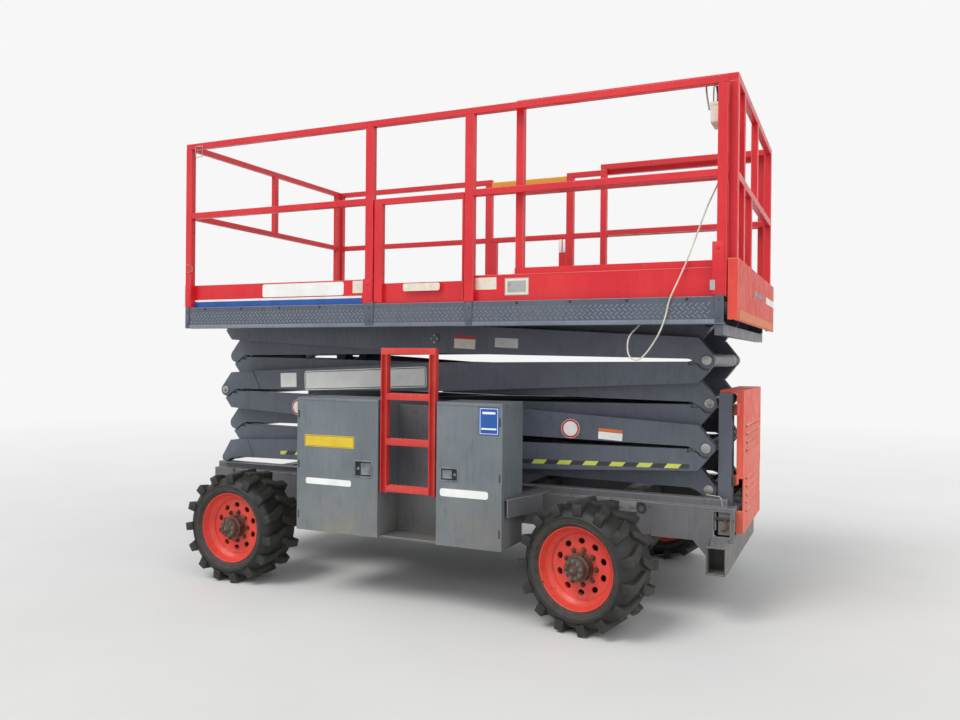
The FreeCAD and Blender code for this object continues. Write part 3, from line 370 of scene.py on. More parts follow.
# The lighter edge finishes below are for broken edges: worn edges with a painted highlight along them.
finish = {
    "cabinetGrey": paint("cabinetGrey", (104, 112, 118), (118, 126, 131), grime=0.3, ground=0.75, sheen=0.15),
    "armGrey": paint("armGrey", (82, 87, 99), (94, 99, 110), dust=(128, 126, 122), grime=0.3, sheen=0.12),
    "armEdgeWearHighlight": paint("armEdgeWearHighlight", (122, 126, 132), (100, 104, 110), grime=0.3),
    "skirtGrey": paint("skirtGrey", (78, 85, 98), (90, 96, 108), grime=0.3, sheen=0.1),
    "skirtLugHighlight": paint("skirtLugHighlight", (132, 140, 154), (112, 119, 132), grime=0.3, sheen=0.1),
    "skirtEdgeWearHighlight": paint("skirtEdgeWearHighlight", (128, 134, 146), (108, 114, 126), grime=0.3),
    "chassisGrey": paint("chassisGrey", (96, 97, 102), (112, 111, 113), dust=(136, 128, 116), grime=0.34,
                         rust=0.3, ground=0.6),
    "chassisEdgeWearHighlight": paint("chassisEdgeWearHighlight", (134, 134, 136), (112, 110, 108), grime=0.4, rust=0.6, ground=0.6),
    "railRed": paint("railRed", (212, 20, 34), (222, 38, 46), dust=(228, 96, 92), rough=0.38, grime=0.16,
                     sheen=0.2),
    "railEdgeWearHighlight": paint("railEdgeWearHighlight", (236, 84, 82), (224, 52, 56), dust=(246, 160, 150), rough=0.38, grime=0.2,
                      sheen=0.2),
    "boardRed": paint("boardRed", (216, 18, 36), (224, 44, 48), dust=(214, 110, 98), rough=0.42, grime=0.18,
                      sheen=0.12),
    "plateRed": paint("plateRed", (222, 60, 48), (228, 84, 64), dust=(200, 130, 104), rough=0.5, grime=0.34),
    "plateEdgeWearHighlight": paint("plateEdgeWearHighlight", (232, 132, 108), (218, 96, 76), dust=(200, 150, 120), rough=0.5,
                       grime=0.3),
    "coverRed": paint("coverRed", (236, 84, 62), (240, 112, 90), dust=(204, 140, 112), rough=0.5,
                      grime=0.26, ground=0.7),
    "coverEdgeWearHighlight": paint("coverEdgeWearHighlight", (240, 140, 116), (228, 104, 82), dust=(200, 150, 120), rough=0.5,
                       grime=0.3),
    "ladderRed": paint("ladderRed", (204, 44, 44), (216, 72, 62), dust=(170, 120, 100), rough=0.42,
                       grime=0.38, rust=0.3),
    "ladderEdgeWearHighlight": paint("ladderEdgeWearHighlight", (236, 122, 104), (220, 84, 70), dust=(180, 130, 110), rough=0.42,
                        grime=0.3),
    "wheelRed": paint("wheelRed", (222, 62, 50), (230, 84, 68), dust=(150, 110, 84), grime=0.3, rust=0.6,
                      sheen=0.1, worn=(134, 92, 70)),
    "hubRust": metal("hubRust", (98, 84, 76), (88, 56, 40), rough=0.6, amount=0.75, metallic=0.35),
    "hubGrey": metal("hubGrey", (112, 108, 102), (96, 70, 54), rough=0.55, amount=0.6, metallic=0.4),
    "pinSteel": metal("pinSteel", (168, 168, 164), (118, 104, 92), rough=0.36, amount=0.4),
    "rustySteel": metal("rustySteel", (120, 84, 62), (92, 54, 36), rough=0.7, amount=0.9, metallic=0.2),
    "chrome": metal("chrome", (205, 207, 210), (170, 170, 168), rough=0.16, amount=0.15, metallic=1.0),
    "castIron": metal("castIron", (62, 62, 62), (84, 66, 52), rough=0.6, amount=0.5, metallic=0.4),
    "engineGrey": metal("engineGrey", (84, 86, 88), (58, 54, 50), rough=0.55, amount=0.5, metallic=0.4),
    "creamPlastic": plastic("creamPlastic", (238, 228, 212), (222, 210, 190)),
    "blackPlastic": plastic("blackPlastic", (32, 32, 34), (44, 43, 42), rough=0.45),
    "hoseRubber": plastic("hoseRubber", (26, 26, 27), (46, 44, 41), rough=0.55),
    "plateWhite": plastic("plateWhite", (246, 246, 243), (232, 232, 227), rough=0.45, scale=9),
    "plateYellow": plastic("plateYellow", (230, 200, 50), (214, 180, 44), rough=0.4, scale=9),
    "plateBlue": plastic("plateBlue", (30, 92, 176), (24, 76, 150), rough=0.4, scale=9),
    "latchSteel": metal("latchSteel", (128, 134, 140), (92, 92, 92), rough=0.45, amount=0.45, metallic=0.5),
    "plateSilver": metal("plateSilver", (178, 180, 180), (150, 146, 138), rough=0.36, amount=0.3),
    "leadWhite": plastic("leadWhite", (226, 220, 206), (196, 186, 166), rough=0.5, scale=24),
}


def tyreMaterial():
    # dark rubber, greyer where the ground wears it, brown dust in towards the rim
    material, tree, shader = newMaterial("tyreRubber")
    cloud = rangeOf(tree, noiseOf(tree, 8.0, 6), 0.35, 0.7)
    colour = mixOf(tree, cloud, tone(15, 15, 16), tone(27, 27, 27))
    shed = tree.nodes.new("ShaderNodeAttribute")
    shed.attribute_name = "worn"
    dusty = sumOf(tree, "MULTIPLY", shed.outputs["Fac"],
                  rangeOf(tree, noiseOf(tree, 26.0, 6), 0.3, 0.6, 0.45, 1.0))
    colour = mixOf(tree, dusty, colour, tone(88, 83, 76))
    tree.links.new(colour, shader.inputs["Base Color"])
    tree.links.new(rangeOf(tree, cloud, 0, 1, 0.5, 0.72), shader.inputs["Roughness"])
    bumpOf(tree, shader, noiseOf(tree, 130.0, 5), 0.35, 0.001)
    return material


finish["tyreRubber"] = tyreMaterial()


def bandOf(tree, value, low, high, soft=0.03):
    rise = rangeOf(tree, value, low - soft, low + soft)
    return sumOf(tree, "MULTIPLY", rise, rangeOf(tree, value, high + soft, high - soft))


def treadMaterial(pitch):
    # grey deck with rolled lugs that lie crosswise in turn
    material = paint("deckTread", (92, 98, 108), (108, 113, 120), dust=(140, 134, 124), rough=0.46,
                     grime=0.4, rust=0.4)
    tree = material.node_tree
    shader = tree.nodes["Principled BSDF"]
    parts = []
    for kind in ("ADD", "SUBTRACT"):
        both = tree.nodes.new("ShaderNodeMath")
        both.operation = kind
        tree.links.new(axisOf(tree, "X"), both.inputs[0])
        tree.links.new(axisOf(tree, "Y"), both.inputs[1])
        turns = tree.nodes.new("ShaderNodeMath")
        turns.operation = "MULTIPLY_ADD"
        tree.links.new(both.outputs["Value"], turns.inputs[0])
        turns.inputs[1].default_value = 1 / pitch
        turns.inputs[2].default_value = 200
        parts.append(sumOf(tree, "FRACT", turns.outputs["Value"], 0))
    first = sumOf(tree, "MULTIPLY", bandOf(tree, parts[0], 0.18, 0.32), bandOf(tree, parts[1], 0.06, 0.44))
    second = sumOf(tree, "MULTIPLY", bandOf(tree, parts[0], 0.56, 0.94), bandOf(tree, parts[1], 0.68, 0.82))
    lugs = sumOf(tree, "ADD", first, second)
    base = shader.inputs["Base Color"].links[0].from_socket
    share = sumOf(tree, "MULTIPLY", lugs, 0.5)
    tree.links.new(mixOf(tree, share, base, tone(150, 154, 160)), shader.inputs["Base Color"])
    bumpOf(tree, shader, lugs, 0.8, 0.0015)
    return material


finish["deckTread"] = treadMaterial(0.036)

print("finishes made,", len(finish))


# CAD nodes keep their shape. Each gets its finish, and broken edges in a lighter paint: worn edges with a
# painted highlight along them.

nodeFinish = {
    # node or the start of its name: finish, edge finish (worn edges with a painted highlight), edge width
    "cabinet_near": ("cabinetGrey", "armEdgeWearHighlight", 0.004),
    "cabinet_far": ("cabinetGrey", "armEdgeWearHighlight", 0.004),
    "cabinet_mounts": ("chassisGrey", "chassisEdgeWearHighlight", 0.003),
    "door_": ("cabinetGrey", "armEdgeWearHighlight", 0.005),
    "inner_arms": ("armGrey", "armEdgeWearHighlight", 0.003),
    "outer_arms": ("armGrey", "armEdgeWearHighlight", 0.003),
    "chassis_side": ("chassisGrey", "chassisEdgeWearHighlight", 0.003),
    "chassis_cross": ("chassisGrey", "chassisEdgeWearHighlight", 0.003),
    "base_pivot": ("chassisGrey", "chassisEdgeWearHighlight", 0.002),
    "bumper_tube": ("chassisGrey", "chassisEdgeWearHighlight", 0.005),
    "bumper_hangers": ("chassisGrey", "chassisEdgeWearHighlight", 0.003),
    "tie_down": ("chassisGrey", "chassisEdgeWearHighlight", 0.003),
    "end_cover": ("coverRed", "coverEdgeWearHighlight", 0.003),
    "cover_posts": ("armGrey", "armEdgeWearHighlight", 0.003),
    "front_axle": ("castIron", "castIron", 0.004),
    "rear_axle": ("castIron", "castIron", 0.004),
    "knuckle": ("castIron", "castIron", 0.003),
    "engine_block": ("engineGrey", "engineGrey", 0.01),
    "ladder_recess": ("chassisGrey", "chassisEdgeWearHighlight", 0.002),
    "ladder": ("ladderRed", "ladderEdgeWearHighlight", 0.003),
    "lift_barrel": ("armGrey", "armEdgeWearHighlight", 0.003),
    "lift_rod": ("chrome", "chrome", 0.002),
    "deck_side": ("skirtGrey", "skirtEdgeWearHighlight", 0.003),
    "deck_floor": ("deckTread", "skirtEdgeWearHighlight", 0.002),
    "deck_guides": ("armGrey", "armEdgeWearHighlight", 0.002),
    "deck_pivot": ("armGrey", "armEdgeWearHighlight", 0.002),
    "toe_boards": ("boardRed", "railEdgeWearHighlight", 0.002),
    "guard_": ("railRed", "railEdgeWearHighlight", 0.004),
    "entry_gate": ("railRed", "railEdgeWearHighlight", 0.003),
    "extension_floor": ("deckTread", "skirtEdgeWearHighlight", 0.002),
    "extension_toe": ("boardRed", "railEdgeWearHighlight", 0.002),
    "extension_end_plate": ("plateRed", "plateEdgeWearHighlight", 0.003),
    "extension_": ("railRed", "railEdgeWearHighlight", 0.004),
    "control_box": ("creamPlastic", "creamPlastic", 0.008),
    "control_lead": ("leadWhite", "leadWhite", 0.0),
    "tyre_": ("tyreRubber", "tyreRubber", 0.0),
    "wheel_": ("wheelRed", "wheelRed", 0.0),
}


def breakEdges(node, width):
    weld = node.modifiers.new("weld", "WELD")
    weld.merge_threshold = 0.0001
    bevel = node.modifiers.new("edges", "BEVEL")
    bevel.width = width
    bevel.segments = 2
    bevel.limit_method = "ANGLE"
    bevel.angle_limit = math.radians(50)
    # the bevel's faces take slot 1, the lighter edge finish: worn edges with a painted highlight
    bevel.material = 1
    bevel.use_clamp_overlap = True
    smooth = node.modifiers.new("smooth", "WEIGHTED_NORMAL")
    smooth.keep_sharp = False
    smooth.weight = 100


for name, node in nodes.items():
    key = next(start for start in nodeFinish if name.startswith(start))
    face, edge, width = nodeFinish[key]
    node.data.materials.clear()
    node.data.materials.append(finish[face])
    node.data.materials.append(finish[edge])
    if width:
        breakEdges(node, width)
print("nodes finished")


# White lead from the control box, over the toe boards and up to the deck floor

leadSet = {
    "diameter": 0.008,
    "length": 1.642,
    "relief": 0.034,
    "route": [
        (1.652, -0.772, 2.5448), (1.653, -0.770, 2.470), (1.661, -0.765, 2.380), (1.662, -0.768, 2.300),
        (1.641, -0.772, 2.243), (1.608, -0.780, 2.172), (1.580, -0.795, 2.092), (1.554, -0.812, 2.009),
        (1.532, -0.836, 1.930), (1.507, -0.862, 1.852), (1.473, -0.886, 1.762), (1.436, -0.894, 1.681),
        (1.421, -0.896, 1.599), (1.394, -0.899, 1.520), (1.355, -0.903, 1.453), (1.323, -0.904, 1.409),
        (1.284, -0.898, 1.375), (1.235, -0.887, 1.392), (1.220, -0.868, 1.456), (1.226, -0.838, 1.510),
        (1.254, -0.798, 1.547), (1.300, -0.778, 1.604), (1.315, -0.770, 1.6668),
    ],
}


def addLead(settings):
    route = settings["route"]
    line = bpy.data.curves.new("whiteLead", "CURVE")
    line.dimensions = "3D"
    spline = line.splines.new("NURBS")
    spline.points.add(len(route) - 1)
    for spot, place in zip(spline.points, route):
        spot.co = (*place, 1)
    spline.order_u = 3
    spline.use_endpoint_u = True
    spline.resolution_u = 8
    line.bevel_depth = settings["diameter"] / 2
    line.bevel_resolution = 4
    lead = bpy.data.objects.new("whiteLead", line)
    bpy.context.scene.collection.objects.link(lead)
    line.materials.append(finish["leadWhite"])

    # ribbed sleeve at the control box and a nut with a short boot under the floor
    x, y, z = route[0]
    low = z - settings["relief"]
    ribs = [(x + 0.0041, y, z), (x + 0.0095, y, z), (x + 0.0095, y, z - 0.004)]
    for step in range(1, 6):
        height = z - 0.004 - step * 0.005
        ribs += [(x + 0.0072 - step * 0.0003, y, height + 0.0035), (x + 0.0086 - step * 0.0004, y, height)]
    ribs += [(x + 0.0058, y, low), (x + 0.0041, y, low)]
    relief = addTurned("leadRelief", ribs, (x, y, z), (0, 0, 1), 32)
    dress(relief, "platform", finish["blackPlastic"])
    x, y, z = route[-1]
    nut = addRound("leadNut", (x, y, 1.655), (x, y, 1.668), 0.013, 6)
    roundEdges(nut, 0.0012)
    boot = addRound("leadBoot", (x - 0.003, y - 0.002, 1.632), (x, y, 1.656), 0.0058, 24, 0.0095)
    gland = joinPieces("leadGland", [nut, boot])
    dress(gland, "platform", finish["blackPlastic"])

    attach(lead, "platform")
    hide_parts("control_lead")


addLead(leadSet)
print("lead laid")


# Tyres: one is built round the origin and copied to the four places

tyreSet = {
    "reach": 0.905,
    "height": 0.33,
    "frontX": 1.056,
    "rearX": -1.202,
    "kingpin": 0.78,
    "steer": -11.0,
    "steps": 120,
    "lugCount": 15,
    "lugRoot": 0.268,
    "lugTop": 0.3271,
    "lugTurn": 164.29,
    "profile": [
        # distance from the middle plane, radius
        (0.0, 0.3072), (0.06, 0.3064), (0.104, 0.3040), (0.126, 0.2960), (0.140, 0.2810), (0.1478, 0.2660),
        (0.1500, 0.2622), (0.1528, 0.2606), (0.1528, 0.2574), (0.1504, 0.2556), (0.1516, 0.2470),
        (0.1502, 0.2390), (0.1476, 0.2345), (0.1492, 0.2322), (0.1478, 0.2292), (0.1430, 0.2270),
        (0.1375, 0.2238), (0.1300, 0.2182), (0.1252, 0.2140),
    ],
    "lug": [
        # across the tread, round it
        (-0.008, -0.032), (0.036, -0.017), (0.084, 0.003), (0.118, 0.010), (0.1505, 0.012),
        (0.1505, 0.064), (0.110, 0.060), (0.069, 0.053), (0.030, 0.032), (-0.008, 0.006),
    ],
}
wheelBodies = {
    # body end, then x, side and whether it steers
    "front_right": (tyreSet["frontX"], -1, True),
    "front_left": (tyreSet["frontX"], 1, True),
    "rear_right": (tyreSet["rearX"], -1, False),
    "rear_left": (tyreSet["rearX"], 1, False),
}


def wheelPlace(x, side, steers, turned):
    move = Matrix.Translation((x, side * tyreSet["reach"], tyreSet["height"]))
    if turned and side > 0:
        move = move @ Matrix.Rotation(math.pi, 4, "Z")
    if steers:
        pivot = Matrix.Translation((x, side * tyreSet["kingpin"], 0))
        move = pivot @ Matrix.Rotation(math.radians(tyreSet["steer"]), 4, "Z") @ pivot.inverted() @ move
    return move


def markWorn(piece, rule):
    # how worn or dusty each point is, by its radius and its distance along the axle
    layer = piece.data.attributes.new("worn", "FLOAT", "POINT")
    for point, value in zip(piece.data.vertices, layer.data):
        value.value = rule(math.hypot(point.co.x, point.co.z), point.co.y)


def tyreWear(radius, along):
    if radius > 0.3235:
        return 0.3
    if radius > 0.296:
        return 0.12
    return 0.06 + 0.5 * max(0.0, min(1.0, (0.262 - radius) / 0.035))


def addTyre(settings):
    half = settings["profile"]
    points = [(0, -a, r) for a, r in reversed(half)] + [(0, a, r) for a, r in half[1:]]
    carcass = addTurned("tyreCarcass", points, (0, 0, 0), (0, 1, 0), settings["steps"])
    parts = [carcass]
    step = 360 / settings["lugCount"]
    for flip in (-1, 1):
        outline = [(b, flip * a, settings["lugRoot"]) for a, b in settings["lug"]]
        lug = addPlate("tyreLug", outline, (0, 0, settings["lugTop"] - settings["lugRoot"]))
        startEdit(lug)
        pickFaces(lambda middle, normal: normal.z > 0.9)
        bpy.ops.transform.resize(value=(0.93, 0.985, 1))
        endEdit()
        roundEdges(lug, 0.0035, 2, 40)
        for index in range(settings["lugCount"]):
            turn = settings["lugTurn"] + step * (index + (0.5 if flip > 0 else 0))
            parts.append(copyAt(lug, "tyreLug", Matrix.Rotation(math.radians(turn), 4, "Y")))
        bpy.data.objects.remove(lug)
    tyre = joinPieces("tyre", parts)
    markWorn(tyre, tyreWear)
    return tyre


tyre = addTyre(tyreSet)
for name, (x, side, steers) in wheelBodies.items():
    copy = copyAt(tyre, "tyreRubber_" + name, wheelPlace(x, side, steers, False))
    dress(copy, "roadwheel_" + name, finish["tyreRubber"], 38)
    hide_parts("tyre_" + name)
bpy.data.objects.remove(tyre)
print("tyres fitted")


# Wheels: pressed disc with ten vents in a deep rim, planetary hub, nuts and bolts

wheelSet = {
    "steps": 96,
    "rim": [
        # distance outward from the middle plane, radius
        (-0.125, 0.2138), (0.1245, 0.2138), (0.1275, 0.2128), (0.1286, 0.2098), (0.1268, 0.2068),
        (0.1230, 0.2052),
        (0.1120, 0.2032), (0.1060, 0.1985), (0.0960, 0.1962), (0.0880, 0.1900), (0.0780, 0.1790),
        (0.0720, 0.1705),
        (0.0672, 0.1668), (0.0640, 0.1660), (0.0622, 0.1640), (0.0628, 0.1605), (0.0620, 0.1560),
        (0.0606, 0.1480),
        (0.0616, 0.1150), (0.0650, 0.1060), (0.0656, 0.0760), (0.0620, 0.0600), (0.0480, 0.0600),
        (0.0480, 0.1577),
        (-0.1250, 0.1877),
    ],
    "ventRing": 0.131,
    "vent": (0.0185, 0.0155),  # half size round the wheel, half size along the radius
    "ventCount": 10,
    "nutRing": 0.089,
    "nutCount": 9,
    "hub": [
        (0.020, 0.0005), (0.020, 0.0660), (0.0600, 0.0660), (0.0660, 0.0690), (0.0740, 0.0690),
        (0.0770, 0.0650),
        (0.1000, 0.0650), (0.1030, 0.0665), (0.1110, 0.0665), (0.1130, 0.0640), (0.1150, 0.0575),
        (0.1400, 0.0560), (0.1440, 0.0545), (0.1460, 0.0515), (0.1460, 0.0300), (0.1475, 0.0285),
        (0.1475, 0.0240),
        (0.1490, 0.0225), (0.1560, 0.0205), (0.1590, 0.0170), (0.1590, 0.0005),
    ],
    "boltRing": 0.0425,
    "boltCount": 9,
    "shieldPlace": 0.018,
    "shieldRadius": 0.150,
}


def addHexHead(name, place, radius, height, way=(0, -1, 0), washer=True):
    # six-sided head with a chamfered crown on a washer
    start = Vector(place)
    along = Vector(way).normalized()
    head = addRound(name, start, start + along * height, radius, 6)
    startEdit(head)
    pickFaces(lambda middle, normal: normal.dot(along) > 0.9)
    bpy.ops.mesh.bevel(offset=radius * 0.14, segments=1, affect="EDGES")
    endEdit()
    if not washer:
        return head
    ring = addRound(name, start, start + along * height * 0.22, radius * 1.35, 20)
    roundEdges(ring, height * 0.05, 1, 40)
    return joinPieces(name, [head, ring])


def ringOf(piece, count, start=0.0):
    # copies of a piece round the wheel's axle
    parts = []
    for index in range(count):
        turn = Matrix.Rotation(start + 2 * math.pi * index / count, 4, "Y")
        parts.append(copyAt(piece, piece.name, turn))
    bpy.data.objects.remove(piece)
    return parts


def wheelWear(radius, along):
    near = max(0.0, min(1.0, (0.112 - radius) / 0.035))
    deep = 0.35 if 0.158 < radius < 0.176 else 0.0
    return max(0.9 * near, deep)


def addWheel(settings):
    rim = addTurned("rim", [(0, -a, r) for a, r in settings["rim"]], (0, 0, 0), (0, 1, 0), settings["steps"])
    wide, tall = settings["vent"]
    cutter = addRound("ventCutter", (0, -0.04, settings["ventRing"]), (0, -0.08, settings["ventRing"]), 1.0,
                      28)
    startEdit(cutter)
    bpy.ops.mesh.select_all(action="SELECT")
    bpy.ops.transform.translate(value=(0, 0, -settings["ventRing"]))
    bpy.ops.transform.resize(value=(wide, 1, tall), center_override=(0, 0, 0))
    bpy.ops.transform.translate(value=(0, 0, settings["ventRing"]))
    endEdit()
    cutter = joinPieces("ventCutter", ringOf(cutter, settings["ventCount"]))
    cutAway(rim, cutter)
    roundEdges(rim, 0.0012, 2, 60)
    markWorn(rim, wheelWear)

    nut = addHexHead("wheelNut", (0, -0.065, settings["nutRing"]), 0.0105, 0.013)
    stud = addRound("wheelStud", (0, -0.077, settings["nutRing"]), (0, -0.084, settings["nutRing"]), 0.0052,
                    16)
    roundEdges(stud, 0.0008)
    nuts = joinPieces("wheelNuts", ringOf(joinPieces("wheelNut", [nut, stud]), settings["nutCount"], 0.2))
    hub = addTurned("hub", [(0, -a, r) for a, r in settings["hub"]], (0, 0, 0), (0, 1, 0), 72)
    rib = addBlock("hubRib", (-0.006, -0.112, 0.052), (0.006, -0.078, 0.0715))
    roundEdges(rib, 0.003)
    hub = joinPieces("hub", [hub] + ringOf(rib, 6, 0.3))
    bolt = addHexHead("hubBolt", (0, -0.1455, settings["boltRing"]), 0.0088, 0.0085)
    cap = addHexHead("hubPlug", (0, -0.1588, 0), 0.0105, 0.0055, washer=False)
    bolts = joinPieces("hubBolts", ringOf(bolt, settings["boltCount"]) + [cap])
    place = settings["shieldPlace"]
    outline = [(0, -place, 0.0005), (0, -place, settings["shieldRadius"]),
               (0, 0.004 - place, settings["shieldRadius"] + 0.002),
               (0, 0.016 - place, settings["shieldRadius"] + 0.002), (0, 0.016 - place, 0.0005)]
    shield = addTurned("brakeShield", outline, (0, 0, 0), (0, 1, 0), 64)
    return rim, nuts, hub, bolts, shield


rim, nuts, hub, bolts, shield = addWheel(wheelSet)
for name, (x, side, steers) in wheelBodies.items():
    body = "roadwheel_" + name
    place = wheelPlace(x, side, steers, True)
    dress(copyAt(nuts, "wheelNuts_" + name, place), body, finish["rustySteel"])
    dress(copyAt(hub, "hubBody_" + name, place), body, finish["hubRust"])
    dress(copyAt(bolts, "hubBolts_" + name, place), body, finish["hubGrey"])
    dress(copyAt(shield, "brakeShield_" + name, place), body, finish["castIron"])
    copy = copyAt(rim, "rimPressing_" + name, place)
    dress(copy, body, finish["wheelRed"])
    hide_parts("wheel_" + name)
for piece in (rim, nuts, hub, bolts, shield):
    bpy.data.objects.remove(piece)
print("wheels fitted")


# Shared shapes for plates, doors and small fittings

def peelNode(nodeName, name, test=None):
    # a copy of a CAD node, welded and cleaned, with the faces that pass the test
    piece = bpy.data.objects.new(name, nodes[nodeName].data.copy())
    bpy.context.scene.collection.objects.link(piece)
    startEdit(piece, "VERT")
    bpy.ops.mesh.select_all(action="SELECT")
    bpy.ops.mesh.remove_doubles(threshold=0.0001)
    bpy.ops.mesh.select_mode(type="FACE")
    if test:
        pickFaces(lambda middle, normal: not test(middle, normal))
        bpy.ops.mesh.delete(type="FACE")
    bpy.ops.mesh.select_all(action="SELECT")
    bpy.ops.mesh.dissolve_limited(angle_limit=math.radians(0.5))
    endEdit()
    return piece


def roundedOutline(width, height, radius, steps=4):
    corners = ((1, 1, 0), (-1, 1, 90), (-1, -1, 180), (1, -1, 270))
    points = []
    for across, up, start in corners:
        for step in range(steps + 1):
            turn = math.radians(start + 90 * step / steps)
            a = across * (width / 2 - radius) + radius * math.cos(turn)
            b = up * (height / 2 - radius) + radius * math.sin(turn)
            points.append((a, b))
    return points


def signSheet(name, middle, size, face, slope, radius, axis, thick):
    turn = math.radians(slope)
    outline = []
    for a, b in roundedOutline(size[0], size[1], radius):
        along = middle[0] + a * math.cos(turn) - b * math.sin(turn)
        up = middle[1] + a * math.sin(turn) + b * math.cos(turn)
        outline.append((along, face, up) if axis == "y" else (face, along, up))
    way = math.copysign(thick, face)
    return addPlate(name, outline, (0, way, 0) if axis == "y" else (way, 0, 0))


def addSign(name, body, middle, size, face, material, slope=0.0, radius=0.004, line=None, inset=0.006,
            width=0.003, axis="y", thick=0.0012):
    # a blank plate on an upright face, with a printed line inside its edge
    layers = [(0, material)]
    if line:
        layers += [(inset, line), (inset + width, material)]
    sheets = []
    for level, (edge, colour) in enumerate(layers):
        least = min(size) / 2 - edge
        smaller = (size[0] - 2 * edge, size[1] - 2 * edge)
        corner = min(max(radius - edge, 0.0012), least * 0.998)
        sheet = signSheet(name, middle, smaller, face, slope, corner, axis, thick + 0.00025 * level)
        sheet.data.materials.append(finish[colour])
        sheets.append(sheet)
    return dress(joinPieces(name, sheets), body, None)


def addFrame(name, low, high, width, axis=1):
    # a block with an opening straight through it
    frameBlock = addBlock(name, low, high)
    startEdit(frameBlock)
    pickFaces(lambda middle, normal: abs(normal[axis]) > 0.9)
    bpy.ops.mesh.inset(thickness=width, use_individual=True)
    bpy.ops.mesh.bridge_edge_loops()
    endEdit()
    return frameBlock


def addWire(name, points, radius, sides=3, smooth=True):
    # a bent rod or hose through the points, turned into a mesh
    clearSelection()
    line = bpy.data.curves.new(name, "CURVE")
    line.dimensions = "3D"
    spline = line.splines.new("NURBS" if smooth else "POLY")
    spline.points.add(len(points) - 1)
    for spot, place in zip(spline.points, points):
        spot.co = (*place, 1)
    if smooth:
        spline.order_u = 3
        spline.use_endpoint_u = True
        spline.resolution_u = 6
    line.bevel_depth = radius
    line.bevel_resolution = sides
    line.use_fill_caps = True
    wire = bpy.data.objects.new(name, line)
    bpy.context.scene.collection.objects.link(wire)
    makeActive(wire)
    bpy.ops.object.convert(target="MESH")
    made = bpy.context.object
    startEdit(made, "VERT")
    bpy.ops.mesh.select_all(action="SELECT")
    bpy.ops.mesh.remove_doubles(threshold=0.00002)
    bpy.ops.mesh.normals_make_consistent(inside=False)
    endEdit()
    return made


# Scissor stack: raised cheeks, weld seams, pin caps, hazard band and blank plates

stackSet = {
    "length": 3.27,
    "rise": 0.234,
    "ends": (-1.703617, 1.558),
    "pinZ": 0.68,
    "face": 0.505,
    "cheek": 0.004,
    "cheekEdge": {1: (0.215, 0.270), 3: (0.260, 0.318)},
    "capRadius": 0.0262,
}
stackTurn = math.asin(stackSet["rise"] / stackSet["length"])


def stackPoint(level, way, u, v, y):
    # u runs along the arm from its low pin, v across it
    start = stackSet["ends"][0] if way > 0 else stackSet["ends"][1]
    x = start + way * (u * math.cos(stackTurn) - v * math.sin(stackTurn))
    z = stackSet["pinZ"] + stackSet["rise"] * level + u * math.sin(stackTurn) + v * math.cos(stackTurn)
    return (x, y, z)


def armWay(number):
    return 1 if number % 2 else -1


def addCheek(number, side):
    # the fork's outer plate stands proud of the arm up to a slanted edge
    face = side * stackSet["face"]
    name = "armCheek_%d_%s" % (number, "near" if side < 0 else "far")
    cheek = peelNode("outer_arms_%d" % number, name, lambda middle, normal: abs(middle.y - face) < 0.0005)
    top, bottom = stackSet["cheekEdge"][number]
    high = Vector(stackPoint(number - 1, 1, top, 0.07, face))
    low = Vector(stackPoint(number - 1, 1, bottom, -0.06, face))
    edge = high - low
    normal = Vector((edge.z, 0, -edge.x)).normalized()
    startEdit(cheek)
    bpy.ops.mesh.select_all(action="SELECT")
    bpy.ops.mesh.bisect(plane_co=low, plane_no=normal, clear_outer=True)
    bpy.ops.mesh.select_all(action="SELECT")
    bpy.ops.mesh.dissolve_limited(angle_limit=math.radians(0.5))
    bpy.ops.mesh.select_all(action="SELECT")
    bpy.ops.mesh.extrude_region_move(TRANSFORM_OT_translate={"value": (0, side * stackSet["cheek"], 0)})
    bpy.ops.mesh.select_all(action="SELECT")
    bpy.ops.mesh.normals_make_consistent(inside=False)
    endEdit()
    roundEdges(cheek, 0.0014, 2, 40)
    dress(cheek, "outer_%d" % number, finish["armGrey"])


def addWeld(name, body, start, end, radius, count, material="armEdgeWearHighlight"):
    # a rippled bead of weld between two points
    way = (Vector(end) - Vector(start)) / count
    beads = []
    for index in range(count):
        spot = Vector(start) + way * (index + 0.5)
        last = radius * (0.72 + 0.1 * (index % 3))
        beads.append(addRound(name, spot - way * 0.62, spot + way * 0.62, radius, 8, last))
    dress(joinPieces(name, beads), body, finish[material], angle=60)


def pinCap(radius):
    # plated cap with the three-cornered keeper that stops the pin turning
    cap = addRound("pinCap", (0, 0, 0), (0, -0.004, 0), radius, 40)
    startEdit(cap)
    pickFaces(lambda middle, normal: normal.y < -0.9)
    bpy.ops.mesh.inset(thickness=radius * 0.16)
    bpy.ops.transform.translate(value=(0, -0.0012, 0))
    endEdit()
    roundEdges(cap, 0.0008, 2, 30)
    reach = radius * 0.62
    corners = [(reach * math.cos(turn), -0.005, reach * math.sin(turn)) for turn in (0.35, 2.3, 4.1)]
    keeper = addPlate("pinKeeper", corners, (0, -0.003, 0))
    roundEdges(keeper, 0.0028, 3, 60)
    bolt = addHexHead("pinBolt", (radius * 0.1, -0.0078, radius * 0.02), 0.0062, 0.0045)
    return joinPieces("pinCap", [cap, keeper, bolt])


